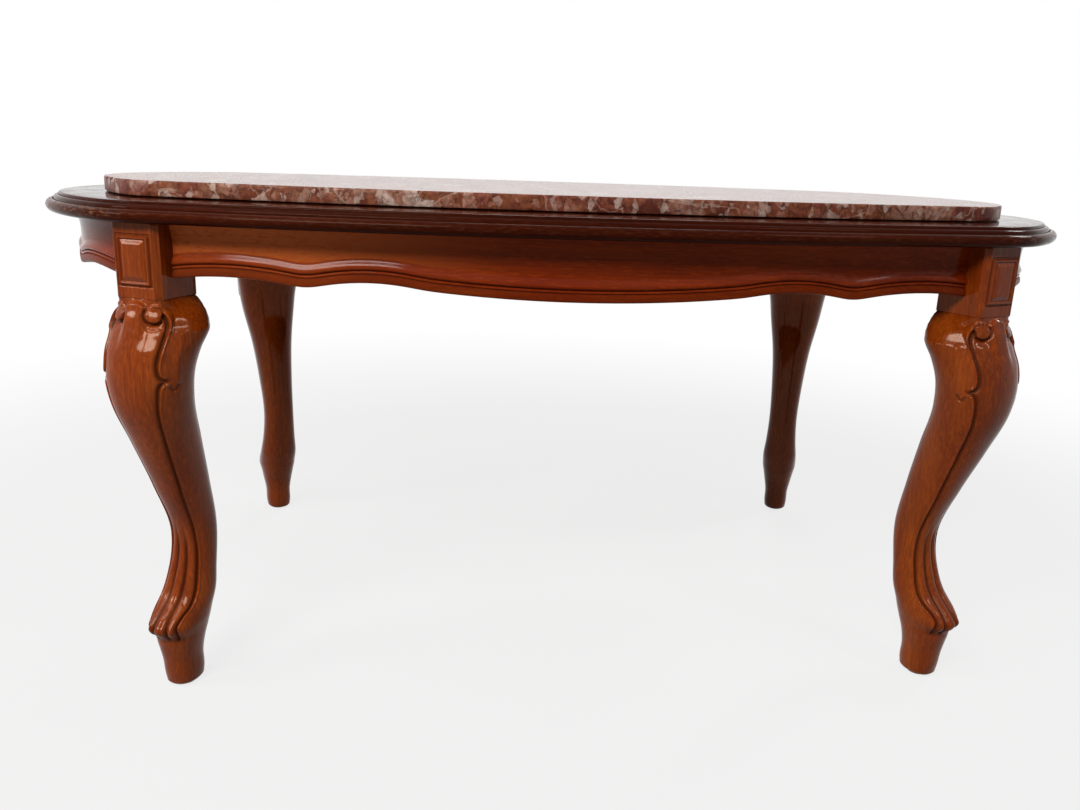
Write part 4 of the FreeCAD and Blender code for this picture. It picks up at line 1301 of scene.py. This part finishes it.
def build_rails():
    oval = Oval(0, 0)
    profile = top_profile()
    mitres = np.array([mitre_angle(oval, inset) for inset in profile[:, 0]])
    spans = {
        "front": (-math.pi - mitres, mitres),
        "right": (mitres, -mitres),
        "back": (-mitres, math.pi + mitres),
        "left": (math.pi + mitres, math.pi - mitres),
    }
    for i, (name, (start, stop)) in enumerate(spans.items()):
        grid = rail_grid(oval, profile, start, stop)
        points = grid.reshape(-1, 3)
        run = np.repeat(np.arange(len(grid)) * RAIL_STEP, len(profile))
        inset, height, hollow_shade, wear = (np.tile(column, len(grid)) for column in profile.T)
        exposed = MIDDLE_WEAR + (1 - MIDDLE_WEAR) * ramp(np.abs(points[:, 0]), *WORN_ENDS)
        values = {
            "grain": grain_of(run, inset, height, i, RAIL_GRAIN),
            "hollow_shade": hollow_shade,
            "wear": wear * exposed,
            "faded_and_lit": np.zeros(len(points)),
        }
        piece = make_piece(f"moulded_rail_{name}", points, tube_faces(*grid.shape[:2]), f"top_rail_{name}",
                           "frame", [DARK_LACQUER, POLISHED_LACQUER], values)
        finish_top(piece)


# Marble slab

# Rows up the slab's edge: inset, height, and how far chips reach inwards and downwards there.
SLAB_EDGE = (
    (1.6, SLAB_LOW, 0, 0),
    (0.5, SLAB_LOW + 0.6, 0, 0),
    (0.15, SLAB_LOW + 1.8, 0, 0),
    (0.05, SLAB_LOW + 5, 0, 0),
    (0.05, SLAB_LOW + 9, 0, 0),
    (0.1, SLAB_HIGH - 3.0, 0.25, 0.4),
    (0.15, SLAB_HIGH - 1.5, 1.2, 1.4),
    (0.5, SLAB_HIGH - 0.5, 2.4, 1.2),
    (1.1, SLAB_HIGH, 3.4, 0),
)
SLAB_STEP = 2.5
SLAB_SHARP = 30

# Chips of the upper edge and nicks of the lower one: share, scale per metre and level of each noise, and what
# is taken off its sum; then how deep the nicks are and up to which height they reach.
CHIPS = (((1.3, 60, 1.7), (0.8, 190, 4.2)), 0.12)
NICKS = (((1.0, 110, 8.1), (0.5, 240, 2.9)), 0.3)
NICK_DEPTH = 1.4
NICK_TOP = SLAB_LOW + 1


def broken_edge(place, layers, less):
    """How much is broken off at each place round the slab, from 0 to 1."""
    total = 0
    for share, scale, level in layers:
        bumps = [noise.noise(Vector((x * scale, y * scale, level))) for x, y in place * MM]
        total = total + share * np.array(bumps)
    return np.clip(total - less, 0, 1)


def build_slab():
    oval = Oval(SLAB_END_MARGIN, SLAB_SIDE_MARGIN)
    angles = oval.angles(-math.pi, math.pi, SLAB_STEP)[:-1]
    place = oval.points(angles)
    chips = broken_edge(place, *CHIPS)
    nicks = broken_edge(place, *NICKS)
    rings = []
    for inset, height, inwards, downwards in SLAB_EDGE:
        nicked = NICK_DEPTH * nicks if height < NICK_TOP else 0
        ring = oval.points(angles, inset + inwards * chips + nicked)
        rings.append(np.column_stack((ring, height - downwards * chips)))
    grid = np.array(rings)
    piece = make_piece("marble_top", grid.reshape(-1, 3), tube_faces(*grid.shape[:2]), "marble_slab", "slab",
                       [MARBLE_EDGE, MARBLE_TOP], {}, sharp=SLAB_SHARP)
    finish_top(piece)


def dress_nodes():
    """Finishes for the pieces of the model that show as they are."""
    slots = {part["node"]: part["material_slot"] for part in frame["record"]["subparts"]}
    for name, item in frame["nodes"].items():
        if item.hide_render:
            continue
        item.data.materials.clear()
        item.data.materials.append(BARE[slots[name]])


# Stage, light and camera

WHITE = (1, 1, 1, 1)
WHITE_LEVEL = 1.0
AMBIENT_LEVEL = 0.05

# The floor keeps the object's shadow near it and is white further off; distances in metres.
FLOOR_REACH = 30
FLOOR_COLOR = (0.36, 0.36, 0.35, 1)
FLOOR_SHADE_END = 0.75
FLOOR_WHITE_START = 1.9
FLOOR_LIFT = 0.8

# Soft lamps: place, point looked at, direction of the width, width and height in metres, and power in watts.
LAMPS = {
    "sky": ((-1.75, -0.75, 2.15), (-0.3, -0.1, 0.35), (0.74, -0.5, 0.44), (1.8, 0.3), 15),
    "left_window": ((-2.19, -0.78, 1.42), (-0.4, -0.27, 0.45), (-0.28, 1, 0), (0.56, 0.36), 14),
    "right_window": ((2.1, 0.7, 1.9), (0, 0, 0.35), (0, 1, 0), (0.5, 0.4), 18),
    "front_left": ((-1.05, -1.85, 2.0), (-0.3, -0.3, 0.4), (1, 0, 0), (1.1, 0.7), 60),
    "front_right": ((1.5, -1.5, 2.3), (0.38, -0.28, 0.25), (1, 0, 0), (0.6, 0.35), 13),
    "back": ((0.4, 2.2, 2.2), (0, 0, 0.45), (1, 0, 0), (1.2, 0.5), 26),
}

# The camera, found from the posts, feet and slab edges in the photograph of 1080 x 810 pixels.
CAMERA_PLACE = (-0.1126, -1.1319, 0.5427)
CAMERA_YAW = 4.95
CAMERA_PITCH = 15.09
CAMERA_ROLL = 2.0
FOCAL_PIXELS = 914.2
PHOTO_WIDTH = 1080
SENSOR_WIDTH = 36


def seen_directly(tree):
    """1 for what the camera sees, by itself, mirrored or through glass."""
    path = add(tree, "ShaderNodeLightPath")
    direct = maths(tree, "MAXIMUM", path.outputs["Is Camera Ray"], path.outputs["Is Glossy Ray"])
    return maths(tree, "MAXIMUM", direct, path.outputs["Is Transmission Ray"])


def floor_material():
    """A matte grey that is lifted towards white where it is seen, the more the further off it is."""
    material, tree, shader = new_material("pale_floor")
    tree.nodes.remove(shader)
    matte = add(tree, "ShaderNodeBsdfDiffuse", Color=FLOOR_COLOR)
    glow = add(tree, "ShaderNodeEmission", Color=WHITE, Strength=WHITE_LEVEL)
    far = add(tree, "ShaderNodeVectorMath", {"operation": "LENGTH"})
    feed(tree, far.inputs[0], add(tree, "ShaderNodeNewGeometry").outputs["Position"])
    lift = spread(tree, far.outputs["Value"], FLOOR_SHADE_END, FLOOR_WHITE_START, FLOOR_LIFT, WHITE_LEVEL)
    both = add(tree, "ShaderNodeMixShader", Fac=times(tree, seen_directly(tree), lift))
    feed(tree, both.inputs[1], matte.outputs[0])
    feed(tree, both.inputs[2], glow.outputs[0])
    feed(tree, tree.nodes["Material Output"].inputs["Surface"], both.outputs[0])
    return material


def build_floor():
    mesh = bpy.data.meshes.new("floor")
    corners = [(x * FLOOR_REACH, y * FLOOR_REACH, 0) for x, y in ((-1, -1), (1, -1), (1, 1), (-1, 1))]
    mesh.from_pydata(corners, [], [(0, 1, 2, 3)])
    mesh.materials.append(floor_material())
    floor = new_object("floor", mesh)


def build_world():
    """A white backdrop that lights the object only a little."""
    world = bpy.data.worlds.new("studio")
    world.use_nodes = True
    bpy.context.scene.world = world
    tree = world.node_tree
    background = tree.nodes["Background"]
    feed(tree, background.inputs["Color"], WHITE)
    level = spread(tree, seen_directly(tree), 0, 1, AMBIENT_LEVEL, WHITE_LEVEL)
    feed(tree, background.inputs["Strength"], level)


def aimed(item, place, right, up, back):
    """Puts a lamp or a camera at a place, with its axes along three directions."""
    item.matrix_world = Matrix.Translation(place) @ Matrix((right, up, back)).transposed().to_4x4()


def add_lamp(name, place, aim, along, size, power):
    """A soft lamp that looks at a point, with its width along a direction."""
    data = bpy.data.lights.new(name, "AREA")
    data.shape = "RECTANGLE"
    data.size, data.size_y = size
    data.energy = power
    back = (Vector(place) - Vector(aim)).normalized()
    up = back.cross(Vector(along)).normalized()
    aimed(new_object(name, data), place, up.cross(back), up, back)


def add_camera():
    yaw, pitch, roll = (math.radians(a) for a in (CAMERA_YAW, CAMERA_PITCH, CAMERA_ROLL))
    ahead = Vector((math.sin(yaw) * math.cos(pitch), math.cos(yaw) * math.cos(pitch), -math.sin(pitch)))
    level = Vector((math.cos(yaw), -math.sin(yaw), 0))
    above = level.cross(ahead)
    right = level * math.cos(roll) + above * math.sin(roll)
    up = above * math.cos(roll) - level * math.sin(roll)
    data = bpy.data.cameras.new("photo_view")
    data.sensor_width = SENSOR_WIDTH
    data.lens = SENSOR_WIDTH * FOCAL_PIXELS / PHOTO_WIDTH
    camera = new_object("photo_view", data)
    aimed(camera, CAMERA_PLACE, right, up, -ahead)
    bpy.context.scene.camera = camera


build_legs()
build_aprons()
build_dowels()
build_rails()
build_slab()
dress_nodes()
build_floor()
build_world()
for lamp_name, lamp_values in LAMPS.items():
    add_lamp(lamp_name, *lamp_values)
add_camera()
bpy.context.scene.view_settings.view_transform = "Standard"
